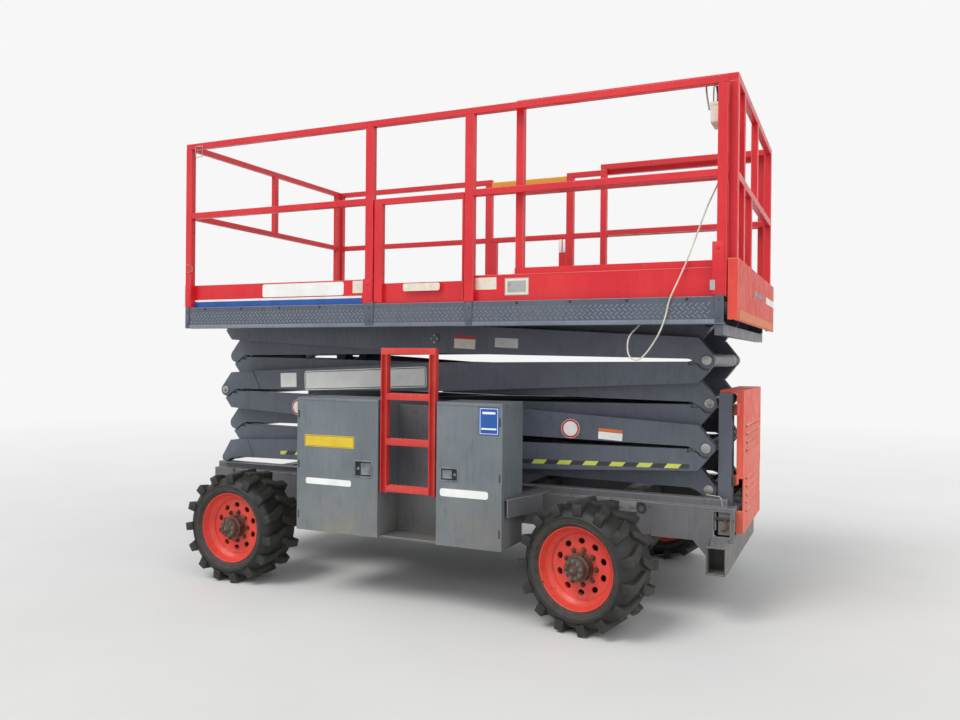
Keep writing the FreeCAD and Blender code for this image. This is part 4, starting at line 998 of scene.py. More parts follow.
capPlaces = {
    # name: body, x, z, distance from the middle
    "outer_2": ("outer_2", 1.558, 0.914, 0.512),
    "outer_3": ("outer_3", -1.7036, 1.148, 0.512),
    "outer_4": ("outer_4", 1.558, 1.382, 0.512),
    "base": ("inner_1", 1.558, 0.68, 0.415),
    "inner_3": ("inner_3", 1.558, 1.148, 0.415),
    "middle_1": ("inner_1", -0.0728, 0.797, 0.5125),
    "middle_2": ("inner_2", -0.0728, 1.031, 0.5125),
    "middle_3": ("inner_3", -0.0728, 1.265, 0.5125),
}
cap = pinCap(stackSet["capRadius"])
for name, (body, x, z, reach) in capPlaces.items():
    for side, label in ((-1, "near"), (1, "far")):
        place = Matrix.Translation((x, side * reach, z))
        if side > 0:
            place = place @ Matrix.Rotation(math.pi, 4, "Z")
        dress(copyAt(cap, "pinCap_%s_%s" % (name, label), place), body, finish["pinSteel"])
bpy.data.objects.remove(cap)

# the top pivot is held by four small screws instead
for side, label in ((-1, "near"), (1, "far")):
    screws = []
    for dx, dz in ((0.021, 0), (-0.021, 0), (0, 0.021), (0, -0.021)):
        screws.append(addHexHead("pivotScrew", (-0.0728 + dx, side * 0.5120, 1.499 + dz), 0.0058, 0.0042,
                                 (0, side, 0)))
    dress(joinPieces("pivotScrews_" + label, screws), "inner_4", finish["pinSteel"])
for number in (1, 3):
    for side in (-1, 1):
        addCheek(number, side)
for number in (1, 2, 3, 4):
    # a bead where the end plate meets the arm
    reach = 3.207 if armWay(number) > 0 else 3.07
    for side, label in ((-1, "near"), (1, "far")):
        face = side * (stackSet["face"] - 0.0012)
        high = stackPoint(number - 1, armWay(number), reach, 0.008, face)
        low = stackPoint(number - 1, armWay(number), reach - 0.002, -0.108, face)
        addWeld("tongueWeld_%d_%s" % (number, label), "outer_%d" % number, high, low, 0.0028, 16, "armGrey")
print("stack detailed")

bandSet = {"start": (-1.234, 0.736), "end": (1.47, 0.813), "height": 0.024, "pitch": 0.15, "lean": 0.8,
           "thick": 0.0007}


def hazardMaterial(settings):
    # slanted stripes, worn through at the edges of the tape
    material, tree, shader = newMaterial("hazardBand")
    lean = tree.nodes.new("ShaderNodeMath")
    lean.operation = "MULTIPLY_ADD"
    tree.links.new(axisOf(tree, "Z"), lean.inputs[0])
    lean.inputs[1].default_value = -settings["lean"]
    tree.links.new(axisOf(tree, "X"), lean.inputs[2])
    turns = tree.nodes.new("ShaderNodeMath")
    turns.operation = "MULTIPLY_ADD"
    tree.links.new(lean.outputs["Value"], turns.inputs[0])
    turns.inputs[1].default_value = 1 / settings["pitch"]
    turns.inputs[2].default_value = 60.35
    part = sumOf(tree, "FRACT", turns.outputs["Value"], 0)
    dark = rangeOf(tree, part, 0.494, 0.506)
    cloud = rangeOf(tree, noiseOf(tree, 12, 5), 0.35, 0.7)
    bright = mixOf(tree, cloud, tone(216, 222, 96), tone(198, 204, 84))
    colour = mixOf(tree, dark, bright, tone(52, 55, 58))
    scuff = rangeOf(tree, noiseOf(tree, 60, 7), 0.66, 0.72, 0.0, 0.7)
    tree.links.new(mixOf(tree, scuff, colour, tone(88, 90, 94)), shader.inputs["Base Color"])
    tree.links.new(rangeOf(tree, cloud, 0, 1, 0.38, 0.5), shader.inputs["Roughness"])
    return material


finish["hazardBand"] = hazardMaterial(bandSet)
for side, label in ((-1, "near"), (1, "far")):
    (startX, startZ), (endX, endZ) = bandSet["start"], bandSet["end"]
    half = bandSet["height"] / 2
    face = side * stackSet["face"]
    outline = [(startX, face, startZ - half), (endX, face, endZ - half), (endX, face, endZ + half),
               (startX, face, startZ + half)]
    band = addPlate("hazardBand_" + label, outline, (0, side * bandSet["thick"], 0))
    dress(band, "outer_1", finish["hazardBand"])

# Blank plates, each at its place on the machine

signTable = (
    # name, body, middle along and up, width and height, face (its sign tells which way it looks),
    # finish, slope, corner radius, printed line with its inset and width
    ("longPlate", "outer_3", (-0.584, 1.2435), (0.915, 0.128), -0.505, "plateWhite", 2.6, 0.018,
     "blackPlastic", 0.006, 0.0045),
    ("squarePlate", "outer_3", (-1.1725, 1.2245), (0.129, 0.094), -0.505, "plateWhite", 2.0, 0.004, None, 0,
     0),
    ("roundPlateFront", "outer_2", (0.8035, 0.987), (0.11, 0.11), -0.505, "plateWhite", 0, 0.0549,
     "signRed", 0.002, 0.011),
    ("roundPlateRear", "outer_2", (-1.091, 1.045), (0.104, 0.104), -0.505, "plateWhite", 0, 0.0519,
     "signRed", 0.002, 0.010),
    ("smallPlateLow", "outer_2", (1.036, 0.9545), (0.138, 0.041), -0.505, "plateWhite", -3.0, 0.003, None,
     0, 0),
    ("smallPlateTop", "outer_2", (1.0372, 0.9852), (0.138, 0.017), -0.505, "signOrange", -3.0, 0.003, None,
     0, 0),
    ("creamPlateLow", "outer_4", (0.1315, 1.4675), (0.141, 0.058), -0.505, "creamPlastic", -3.0, 0.003,
     None, 0, 0),
    ("creamPlateTop", "outer_4", (0.1332, 1.5085), (0.141, 0.018), -0.505, "signRed", -3.0, 0.003, None, 0,
     0),
    ("greyPlate", "outer_4", (0.404, 1.473), (0.148, 0.056), -0.505, "plateSilver", -3.0, 0.003, None, 0, 0),
    ("yellowPlate", "cabinet_door_near_rear", (-0.4545, 0.8995), (0.337, 0.068), -1.060, "plateYellow", 0,
     0.002, "blackPlastic", 0.004, 0.002),
    ("doorPlateRear", "cabinet_door_near_rear", (-0.459, 0.6675), (0.310, 0.035), -1.060, "plateWhite", 0,
     0.012, None, 0, 0),
    ("bluePlate", "cabinet_door_near_front", (0.5435, 1.054), (0.115, 0.146), -1.060, "plateBlue", 0, 0.003,
     "plateWhite", 0.006, 0.003),
    ("bluePlateStripTop", "cabinet_door_near_front", (0.5435, 1.097), (0.074, 0.012), -1.0612, "plateWhite",
     0, 0.001, None, 0, 0),
    ("bluePlateStripLow", "cabinet_door_near_front", (0.5435, 1.014), (0.086, 0.009), -1.0612, "plateWhite",
     0, 0.001, None, 0, 0),
    ("doorPlateFront", "cabinet_door_near_front", (0.401, 0.665), (0.282, 0.042), -1.060, "plateWhite", 0,
     0.014, None, 0, 0),
    ("boardLine", "platform", (-1.0255, 1.7385), (1.289, 0.013), -0.845, "plateWhite", 0, 0.001, None, 0, 0),
    ("boardStripe", "platform", (-1.0255, 1.7145), (1.289, 0.034), -0.845, "plateBlue", 0, 0.001, None, 0, 0),
    ("boardPlate", "platform", (-0.812, 1.7915), (0.606, 0.081), -0.8462, "plateWhite", 0, 0.014, None, 0, 0),
    ("boardCream", "platform", (-0.411, 1.799), (0.070, 0.076), -0.845, "creamPlastic", 0, 0.003, None, 0, 0),
    ("gatePlate", "gate", (0.034, 1.783), (0.236, 0.044), -0.877, "creamPlastic", 0, 0.012, None, 0, 0),
    ("boardTab", "platform", (0.3215, 1.7755), (0.020, 0.068), -0.845, "plateSilver", 0, 0.002, None, 0, 0),
    ("boardPlateMiddle", "platform", (0.414, 1.793), (0.142, 0.066), -0.845, "creamPlastic", 0, 0.003, None,
     0, 0),
    ("boardPlateFront", "platform", (0.605, 1.772), (0.140, 0.094), -0.845, "plateSilver", 0, 0.003,
     "creamPlastic", 0.004, 0.012),
    ("silverPlate", "platform", (1.643, 1.7475), (0.024, 0.049), -0.8862, "plateSilver", 0, 0.002, None, 0,
     0),
)
sideSigns = (
    # on the extension's end plate, y and z
    ("endPlateGrey", "extension", (-0.0115, 1.752), (0.467, 0.024), 1.764, "skirtEdgeWearHighlight", 0, 0.003, None, 0, 0),
    ("endPlateWhite", "extension", (0.632, 1.754), (0.476, 0.040), 1.764, "plateWhite", 0, 0.008, None, 0, 0),
)
finish["signRed"] = plastic("signRed", (206, 44, 40), (186, 40, 38), rough=0.4, scale=9)
finish["signOrange"] = plastic("signOrange", (232, 120, 40), (214, 104, 34), rough=0.4, scale=9)
for name, body, middle, size, face, material, slope, radius, line, inset, width in signTable:
    addSign(name, body, middle, size, face, material, slope, radius, line, inset, width)
for name, body, middle, size, face, material, slope, radius, line, inset, width in sideSigns:
    addSign(name, body, middle, size, face, material, slope, radius, line, inset, width, "x")
print("plates fixed")


# Cabinet doors with a folded hem, a recessed paddle latch each and clips at the hinge

doorSet = {
    "front": 1.060,
    "pocket": 0.014,
    "hem": 0.016,
    "rim": 0.009,
    "clipHeights": (0.47, 0.76, 1.05),
    "clipInset": 0.013,
    "nearHingeX": -0.678,
}
latchSet = {
    # door: the latch opening's x and z, which end of it the key is at, side of the machine
    "near_rear": {"x": (-0.280, -0.172), "z": (0.716, 0.797), "key": -1, "side": -1},
    "near_front": {"x": (0.265, 0.361), "z": (0.731, 0.792), "key": 1, "side": -1},
    "far_rear": {"x": (-0.150, -0.054), "z": (0.716, 0.792), "key": 1, "side": 1},
    "far_front": {"x": (-0.004, 0.092), "z": (0.716, 0.792), "key": -1, "side": 1},
}


def addDoor(label, settings):
    side = settings["side"]
    body = "cabinet_door_" + label
    door = peelNode("door_" + label, "doorSkin_" + label)
    low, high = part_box("door_" + label)
    front = side * doorSet["front"]
    (x0, x1), (z0, z1) = settings["x"], settings["z"]
    back = front - side * doorSet["pocket"]
    pocket = addBlock("latchCut", (x0, front + side * 0.01, z0), (x1, back, z1))
    cutAway(door, pocket)
    roundEdges(door, 0.0016, 2, 50)
    dress(door, body, finish["cabinetGrey"])
    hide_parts("door_" + label)

    # hem: the sheet is folded over along the door's top edge
    hemLow = (low[0] + 0.002, front - side * 0.001, high[2] - doorSet["hem"])
    hemHigh = (high[0] - 0.002, front + side * 0.0022, high[2] - 0.0004)
    # the hem takes the lighter edge finish: a painted highlight along the fold
    hem = addBlock("doorHem_" + label, hemLow, hemHigh)
    roundEdges(hem, 0.001, 2, 40)
    dress(hem, body, finish["armEdgeWearHighlight"])

    # latch: a raised rim, the key's barrel and the paddle
    edge = doorSet["rim"]
    rimLow = (x0 - edge, front - side * 0.002, z0 - edge)
    rimHigh = (x1 + edge, front + side * 0.002, z1 + edge)
    rim = addFrame("latchRim", rimLow, rimHigh, edge + 0.0005)
    roundEdges(rim, 0.0012, 2, 40)
    span = x1 - x0
    keyX = x0 + span * (0.17 if settings["key"] < 0 else 0.83)
    middle = (z0 + z1) / 2
    sunk, proud = back - side * 0.001, back + side * 0.009
    barrel = addRound("latchKey", (keyX, sunk, middle), (keyX, proud, middle), 0.0085, 24)
    roundEdges(barrel, 0.001, 2, 40)
    start = x0 + span * (0.34 if settings["key"] < 0 else 0.05)
    paddle = addBlock("latchPaddle", (start, sunk, z0 + 0.007), (start + span * 0.60, proud, z1 - 0.007))
    startEdit(paddle)
    pickFaces(lambda middle, normal: normal.y * side > 0.9)
    bpy.ops.mesh.inset(thickness=0.006)
    bpy.ops.transform.translate(value=(0, -side * 0.004, 0))
    endEdit()
    roundEdges(paddle, 0.0012, 2, 40)
    dress(joinPieces("latch_" + label, [rim, barrel, paddle]), body, finish["latchSteel"])
    # a black sheet at the back of the latch pocket: painted shade in the recess
    pocketShadeLow = (x0 + 0.0005, back - side * 0.0004, z0 + 0.0005)
    pocketShadeHigh = (x1 - 0.0005, back + side * 0.0008, z1 - 0.0005)
    pocketShade = addBlock("latchPocketShade_" + label, pocketShadeLow, pocketShadeHigh)
    roundEdges(pocketShade, 0.0002, 1, 40)
    dress(pocketShade, body, finish["blackPlastic"])

    # hinge clips
    atLow = abs(low[0] - doorSet["nearHingeX"]) < 0.01
    hingeX = low[0] + doorSet["clipInset"] if atLow else high[0] - doorSet["clipInset"]
    clips = []
    for z in doorSet["clipHeights"]:
        clipLow = (hingeX - 0.004, front - side * 0.001, z - 0.022)
        clipHigh = (hingeX + 0.004, front + side * 0.0018, z + 0.022)
        clip = addBlock("hingeClip", clipLow, clipHigh)
        roundEdges(clip, 0.0009, 2, 40)
        clips.append(clip)
    dress(joinPieces("hingeClips_" + label, clips), body, finish["castIron"])


for label, settings in latchSet.items():
    addDoor(label, settings)
print("doors hung")

# Ladder: its rails are channels, open to the front

ladderSet = {
    "rails": ((-0.118, -0.078), (0.184, 0.224)),
    "low": 0.632,
    "high": 1.435,
    "front": -1.056,
    "back": -1.016,
    "rungs": (0.676, 0.934, 1.184, 1.435),
    "rungSpan": (-0.079, 0.185),
    "rungDepth": 0.036,
    "gripCount": 9,
    "gripStart": -0.060,
    "gripStep": 0.0285,
}


def addLadder(settings):
    front, back = settings["front"], settings["back"]
    low, high = settings["low"], settings["high"]
    parts = []
    for x0, x1 in settings["rails"]:
        rail = addBlock("rail", (x0, front, low), (x1, back, high))
        groove = addBlock("railGroove", (x0 + 0.006, -1.070, low - 0.01), (x1 - 0.006, -1.034, 1.397))
        parts.append(cutAway(rail, groove))
    start, end = settings["rungSpan"]
    for z in settings["rungs"]:
        rung = addBlock("rung", (start, front, z - settings["rungDepth"]), (end, back, z))
        groove = addBlock("rungGroove", (start - 0.011, -1.052, z - 0.050), (end + 0.011, -1.020, z - 0.005))
        parts.append(cutAway(rung, groove))
    ladder = joinPieces("ladderFrame", parts)
    roundEdges(ladder, 0.0018, 2, 50)
    dress(ladder, "chassis", finish["ladderRed"])
    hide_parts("ladder")


def addGrips(settings):
    grips = []
    for z in settings["rungs"][:3]:
        for index in range(settings["gripCount"]):
            x = settings["gripStart"] + index * settings["gripStep"]
            grip = addBlock("rungGrip", (x, -1.050, z - 0.0004), (x + 0.016, -1.022, z + 0.0022))
            startEdit(grip)
            pickFaces(lambda middle, normal: normal.z > 0.9)
            bpy.ops.transform.resize(value=(0.5, 0.8, 1))
            endEdit()
            grips.append(grip)
    dress(joinPieces("rungGrips", grips), "chassis", finish["ladderEdgeWearHighlight"])


addLadder(ladderSet)
addGrips(ladderSet)
print("ladder made")


# Skirt: raised tread pattern with a painted highlight on its lugs, a lower lip in lighter paint as a painted
# highlight, brackets and sleeves round the posts' feet

skirtSet = {"from": -1.668, "to": 1.640, "low": 1.597, "pitch": 0.0285, "rows": 4, "rise": 0.0195,
            "face": 0.880}


def addTreadPattern(settings):
    first = addBlock("lug", (-0.0125, -0.0018, -0.0034), (0.0125, 0.0008, 0.0034))
    startEdit(first)
    pickFaces(lambda middle, normal: normal.y < -0.9)
    bpy.ops.transform.resize(value=(0.45, 1, 0.4))
    endEdit()
    column = []
    for row in range(settings["rows"]):
        turn = Matrix.Rotation(math.radians(-42 if row % 2 else 42), 4, "Y")
        spot = Matrix.Translation((0.5 * settings["pitch"] * (row % 2), 0, row * settings["rise"]))
        column.append(copyAt(first, "lug", spot @ turn))
    bpy.data.objects.remove(first)
    column = joinPieces("lugColumn", column)
    count = int((settings["to"] - settings["from"]) / settings["pitch"])
    for side, label in ((-1, "near"), (1, "far")):
        copies = []
        for index in range(count):
            x = settings["from"] + index * settings["pitch"]
            place = Matrix.Translation((x, side * settings["face"], settings["low"]))
            if side > 0:
                place = place @ Matrix.Rotation(math.pi, 4, "Z")
            copies.append(copyAt(column, "treadLugs", place))
        # the lugs are painted lighter than the skirt: a painted highlight on the raised pattern
        dress(joinPieces("treadLugs_" + label, copies), "platform", finish["skirtLugHighlight"])
    bpy.data.objects.remove(column)


addTreadPattern(skirtSet)
for side, label in ((-1, "near"), (1, "far")):
    front = side * skirtSet["face"]
    lip = addBlock("skirtLipHighlight_" + label, (-1.715, front - side * 0.001, 1.5595),
                   (1.694, front + side * 0.0028, 1.582))
    roundEdges(lip, 0.0012, 2, 40)
    # the lip takes the lighter edge finish: a painted highlight along the skirt's foot
    dress(lip, "platform", finish["skirtEdgeWearHighlight"])

bracketTable = (
    # x, z, depth in front of the face, and the finish
    ((-0.337, -0.279), (1.569, 1.704), 0.006, "skirtGrey"),
    ((0.318, 0.356), (1.564, 1.691), 0.006, "skirtGrey"),
    ((1.655, 1.694), (1.566, 1.715), 0.006, "skirtGrey"),
    ((-1.716, -1.684), (1.562, 1.693), 0.005, "armGrey"),
)
for index, ((x0, x1), (z0, z1), depth, material) in enumerate(bracketTable):
    for side, label in ((-1, "near"), (1, "far")):
        front = side * skirtSet["face"]
        block = addBlock("skirtBracket", (x0, front - side * 0.001, z0), (x1, front + side * depth, z1))
        roundEdges(block, 0.0016, 2, 40)
        parts = [block]
        for z in (z0 + 0.03, z1 - 0.03):
            spot = ((x0 + x1) / 2, front + side * depth, z)
            parts.append(addHexHead("bracketBolt", spot, 0.0075, 0.005, (0, side, 0)))
        dress(joinPieces("skirtBracket_%d_%s" % (index, label), parts), "platform", finish[material])

for side, label in ((-1, "near"), (1, "far")):
    screws = []
    for x in (-1.553, -1.258, -0.96, -0.66, 0.62, 0.92, 1.22, 1.52):
        screws.append(addHexHead("skirtScrew", (x, side * skirtSet["face"], 1.6815), 0.0062, 0.003,
                                 (0, side, 0)))
    dress(joinPieces("skirtScrews_" + label, screws), "platform", finish["castIron"])

sleeveTable = (
    # x and z of the sleeve's face
    ((-0.345, -0.290), (1.700, 1.841)),
    ((1.640, 1.698), (1.700, 1.958)),
    ((-1.717, -1.676), (1.700, 1.842)),
)
for index, ((x0, x1), (z0, z1)) in enumerate(sleeveTable):
    for side, label in ((-1, "near"), (1, "far")):
        block = addBlock("postSleeve", (x0, side * 0.8835, z0), (x1, side * 0.8870, z1))
        roundEdges(block, 0.0012, 2, 40)
        screw = addHexHead("sleeveScrew", ((x0 + x1) / 2, side * 0.8870, z1 - 0.03), 0.007, 0.004,
                           (0, side, 0))
        sleeve = joinPieces("postSleeve_%d_%s" % (index, label), [block, screw])
        dress(sleeve, "platform", finish["railRed"])
print("skirt detailed")


# Chassis beams: tie plates with their rings, the slot's ring and pin, bolts

def addRing(name, middle, radius, thick, axis, material, body):
    # a ring of round bar, a little taller than it is wide
    clearSelection()
    turn = Vector(axis).to_track_quat("Z", "Y").to_euler()
    bpy.ops.mesh.primitive_torus_add(location=middle, rotation=turn, major_radius=radius,
                                     minor_radius=thick, major_segments=36, minor_segments=12)
    ring = bpy.context.object
    ring.name = name
    settle(ring)
    startEdit(ring)
    bpy.ops.mesh.select_all(action="SELECT")
    bpy.ops.transform.resize(value=(1, 1, 1.18))
    endEdit()
    return dress(ring, body, finish[material])


tieSet = {"beamFace": 0.545, "plate": ((1.082, 1.200), (0.552, 0.612)), "proud": 0.006,
          "bolts": (1.104, 1.178), "ringX": 1.226}
slotSet = {"x": (1.612, 1.690), "reach": 0.530, "pinZ": 0.552, "ring": (1.652, 0.520)}
for side, label in ((-1, "near"), (1, "far")):
    face = side * tieSet["beamFace"]
    proud = face + side * tieSet["proud"]
    (x0, x1), (z0, z1) = tieSet["plate"]
    middle = (z0 + z1) / 2
    plate = addBlock("tiePlate", (x0, face - side * 0.001, z0), (x1, proud, z1))
    roundEdges(plate, 0.002, 2, 40)
    parts = [plate]
    for x in tieSet["bolts"]:
        parts.append(addHexHead("tieBolt", (x, proud, middle), 0.0095, 0.007, (0, side, 0)))
    dress(joinPieces("tiePlate_" + label, parts), "chassis", finish["chassisEdgeWearHighlight"])
    addRing("tieRing_" + label, (tieSet["ringX"], proud, middle), 0.022, 0.0048, (0, 1, 0.15), "castIron",
            "chassis")

    reach = side * slotSet["reach"]
    (x0, x1), (ringX, ringZ) = slotSet["x"], slotSet["ring"]
    addRing("slotRing_" + label, (ringX, reach, ringZ), 0.024, 0.0055, (0.4, 1, 0), "rustySteel", "chassis")
    pin = addRound("slotPin_" + label, (x0, reach, slotSet["pinZ"]), (x1, reach, slotSet["pinZ"]), 0.009, 24)
    roundEdges(pin, 0.001, 2, 40)
    dress(pin, "chassis", finish["castIron"])
    bolt = addHexHead("beamBolt_" + label, (-1.60, face, 0.60), 0.011, 0.008, (0, side, 0))
    dress(bolt, "chassis", finish["hubGrey"])
print("chassis detailed")

# Loops of wire at the posts, and a tie wire at the chassis

loopTable = {
    "wireLoopTop": ("platform",
                    [(-1.637, -0.886, 2.735), (-1.579, -0.887, 2.737), (-1.577, -0.887, 2.672),
                     (-1.633, -0.886, 2.667), (-1.637, -0.886, 2.735)], 0.0028),
    "wireLoopLow": ("platform",
                    [(-1.700, -0.887, 1.975), (-1.658, -0.890, 1.962), (-1.654, -0.890, 1.934),
                     (-1.690, -0.888, 1.919)], 0.0028),
    "tieWire": ("chassis",
                [(1.56, -0.500, 0.668), (1.628, -0.505, 0.664), (1.640, -0.507, 0.650),
                 (1.646, -0.507, 0.585)], 0.004),
}
for name, (body, points, radius) in loopTable.items():
    dress(addWire(name, points, radius, 4, False), body, finish["pinSteel"], angle=50)

# Control box: lid, joystick with its guard and a stop button

controlSet = {
    "lidRim": 0.002,
    "lidDepth": 0.018,
    "stickY": -0.03,
    "stopY": 0.042,
    "guardX": -0.02,
    "guard": ((-0.06, 0.001), (-0.06, 0.085), (0.004, 0.110), (0.06, 0.085), (0.06, 0.001)),
}


def addControls(settings):
    low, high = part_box("control_box")
    midX, midY, top = (low[0] + high[0]) / 2, (low[1] + high[1]) / 2, high[2]
    rim = settings["lidRim"]
    lidLow = (low[0] - rim, low[1] - rim, top - settings["lidDepth"])
    lid = addBlock("controlLid", lidLow, (high[0] + rim, high[1] + rim, top + rim))
    roundEdges(lid, 0.004, 3, 40)
    dress(lid, "platform", finish["creamPlastic"])

    y = midY + settings["stickY"]
    boot = addRound("stickBoot", (midX, y, top + 0.001), (midX, y, top + 0.022), 0.018, 24, 0.008)
    stick = addRound("stick", (midX, y, top + 0.02), (midX, y, top + 0.075), 0.005, 16, 0.007)
    knob = addRound("stickKnob", (midX, y, top + 0.055), (midX, y, top + 0.088), 0.010, 24, 0.012)
    roundEdges(knob, 0.003, 3, 40)
    dress(joinPieces("joystick", [boot, stick, knob]), "platform", finish["blackPlastic"])
    y = midY + settings["stopY"]
    stop = addRound("stopButton", (midX, y, top + 0.001), (midX, y, top + 0.020), 0.013, 28, 0.015)
    roundEdges(stop, 0.002, 3, 40)
    dress(stop, "platform", finish["signRed"])
    guard = [(midX + settings["guardX"], midY + across, top + up) for across, up in settings["guard"]]
    dress(addWire("stickGuard", guard, 0.0035, 3, True), "platform", finish["pinSteel"], angle=50)


addControls(controlSet)
print("controls fitted")

# End cover: a hood over each louvre, rusty hinge blocks

louvreSet = {
    "half": 0.300,
    "height": 0.014,
    "rows": (0.556, 0.600, 0.644, 0.688, 0.732, 0.885, 0.928, 0.972, 1.016),
    "face": 1.7375,
    "hood": ((0, 0.006), (0.007, -0.004), (0.007, -0.007), (0, 0.001)),
}
hoods = []
for z in louvreSet["rows"]:
    start = -louvreSet["half"]
    top = z + louvreSet["height"]
    outline = [(louvreSet["face"] + out, start, top + up) for out, up in louvreSet["hood"]]
    hood = addPlate("louvreHood", outline, (0, 2 * louvreSet["half"], 0))
    roundEdges(hood, 0.0007, 1, 40)
    hoods.append(hood)
# the hoods take the lighter edge finish: a painted highlight on their tops
dress(joinPieces("louvreHoods", hoods), "chassis", finish["coverEdgeWearHighlight"])
for side, label in ((-1, "near"), (1, "far")):
    for level, z in (("low", 0.745), ("high", 1.120)):
        bar = addRound("coverHinge", (1.694, side * 0.431, z - 0.028), (1.694, side * 0.431, z + 0.028),
                       0.009, 20)
        roundEdges(bar, 0.0012, 2, 40)
        dress(bar, "chassis", finish["rustySteel"])
        bar.name = "coverHinge_%s_%s" % (level, label)
print("cover detailed")


# Dark sheets inside the beam's slot and the bumper tube as painted shade in their hollows, the platform's
# wire hook and tape

paintedShadeTable = (
    ("slotShade", (1.598, 0.455, 0.452), (1.700, 0.475, 0.604), "castIron"),
    ("bumperPlug", (1.586, 0.500, 0.278), (1.674, 0.506, 0.411), "blackPlastic"),
)
for name, low, high, material in paintedShadeTable:
    for side, label in ((-1, "near"), (1, "far")):
        block = addBlock(name, (low[0], side * low[1], low[2]), (high[0], side * high[1], high[2]))
        roundEdges(block, 0.001, 1, 40)
        dress(block, "chassis", finish[material])
        block.name = name + "_" + label
hook = [(1.604, -0.784, 2.625), (1.590, -0.784, 2.700), (1.587, -0.784, 2.758), (1.603, -0.784, 2.768),
        (1.640, -0.784, 2.764)]
dress(addWire("controlHook", hook, 0.0045, 4, True), "platform", finish["plateSilver"], angle=50)

# Thin strips in lighter paint as painted highlights along the toe boards' tops, the door top and the slide
# rail's top, and tape

trimTable = (
    # name, body, low corner, high corner, finish
    ("boardTopHighlightFront", "platform", (0.345, -0.8468, 1.8340), (1.640, -0.8446, 1.8402), "railEdgeWearHighlight"),
    ("boardTopHighlightRear", "platform", (-1.676, -0.8468, 1.8340), (-0.347, -0.8446, 1.8402), "railEdgeWearHighlight"),
    ("stileTapeRear", "platform", (0.253, 0.8415, 2.172), (0.273, 0.8465, 2.268), "plateWhite"),
    ("stileTapeFront", "platform", (0.282, 0.8415, 2.172), (0.302, 0.8465, 2.268), "plateWhite"),
    ("doorTopHighlight", "chassis", (-0.672, -1.036, 1.1462), (-0.136, -0.780, 1.1478), "armEdgeWearHighlight"),
    ("railTopHighlight", "chassis", (-1.700, -0.541, 0.6490), (0.60, -0.511, 0.6512), "skirtEdgeWearHighlight"),
)
for name, body, low, high, material in trimTable:
    block = addBlock(name, low, high)
    roundEdges(block, 0.0006, 2, 40)
    dress(block, body, finish[material])

# Behind the near doors: two batteries with their strap, and the oil tank

cabinetFloor = 0.404
batterySet = {"size": (0.215, 0.165, 0.250), "places": {"Rear": (-0.640, -0.990), "Front": (-0.395, -0.990)}}
cableSet = {"y": -0.907,
            "route": ((-0.468, 0.680), (-0.450, 0.720), (-0.410, 0.735), (-0.370, 0.720), (-0.352, 0.680))}
tankSet = {"low": (0.300, -0.995), "high": (0.560, -0.820, 0.850), "ribs": (0.50, 0.62, 0.74),
           "neck": (0.36, -0.905)}


def addBattery(name, low, size):
    high = [a + b for a, b in zip(low, size)]
    case = addBlock(name, low, high)
    startEdit(case)
    pickFaces(lambda middle, normal: normal.z > 0.9)
    bpy.ops.mesh.inset(thickness=0.004)
    bpy.ops.transform.translate(value=(0, 0, -0.006))
    bpy.ops.mesh.inset(thickness=0.010)
    bpy.ops.transform.translate(value=(0, 0, 0.018))
    endEdit()
    parts = [roundEdges(case, 0.003, 2, 40)]
    for share in (0.2, 0.8):
        x = low[0] + size[0] * share
        y = low[1] + size[1] * 0.5
        post = addRound(name, (x, y, high[2] + 0.010), (x, y, high[2] + 0.030), 0.010, 20, 0.0085)
        parts.append(post)
    return dress(joinPieces(name, parts), "chassis", finish["blackPlastic"])


for label, (x, y) in batterySet["places"].items():
    addBattery("battery" + label, (x, y, cabinetFloor), batterySet["size"])
cable = [(x, cableSet["y"], z) for x, z in cableSet["route"]]
dress(addWire("batteryCable", cable, 0.0065, 3, True), "chassis", finish["signRed"], angle=60)
strap = addBlock("batteryStrap", (-0.646, -0.915, 0.672), (-0.160, -0.899, 0.677))
roundEdges(strap, 0.001, 2, 40)
dress(strap, "chassis", finish["rustySteel"])



def addTank(settings):
    (x0, y0), (x1, y1, top) = settings["low"], settings["high"]
    tank = addBlock("oilTank", (x0, y0, cabinetFloor), (x1, y1, top))
    parts = [roundEdges(tank, 0.014, 4, 40)]
    for z in settings["ribs"]:
        rib = addBlock("oilTank", (x0 - 0.0015, y0 - 0.0015, z), (x1 + 0.0015, y1 + 0.0015, z + 0.018))
        parts.append(roundEdges(rib, 0.003, 2, 40))
    x, y = settings["neck"]
    neck = addRound("oilTank", (x, y, top - 0.004), (x, y, top + 0.032), 0.030, 32)
    parts.append(roundEdges(neck, 0.003, 2, 40))
    dress(joinPieces("oilTank", parts), "chassis", finish["engineGrey"])
    lid = addRound("oilTankCap", (x, y, top + 0.030), (x, y, top + 0.052), 0.037, 12, 0.034)
    roundEdges(lid, 0.002, 2, 30)
    dress(lid, "chassis", finish["blackPlastic"])


addTank(tankSet)
for index, x in enumerate((0.45, 0.50)):
    hose = [(x, -0.90, 0.845), (x, -0.90, 0.93), (x + 0.02, -0.87, 1.00), (x + 0.02, -0.80, 1.03)]
    dress(addWire("tankHose_%d" % index, hose, 0.011, 3, True), "chassis", finish["hoseRubber"], angle=60)
print("cabinets filled")

# Hatched strip along the foot of the extension's end plate

hatchSet = {"half": 0.850, "low": 1.583, "high": 1.628, "pitch": 0.042, "face": (1.7635, 1.7650)}


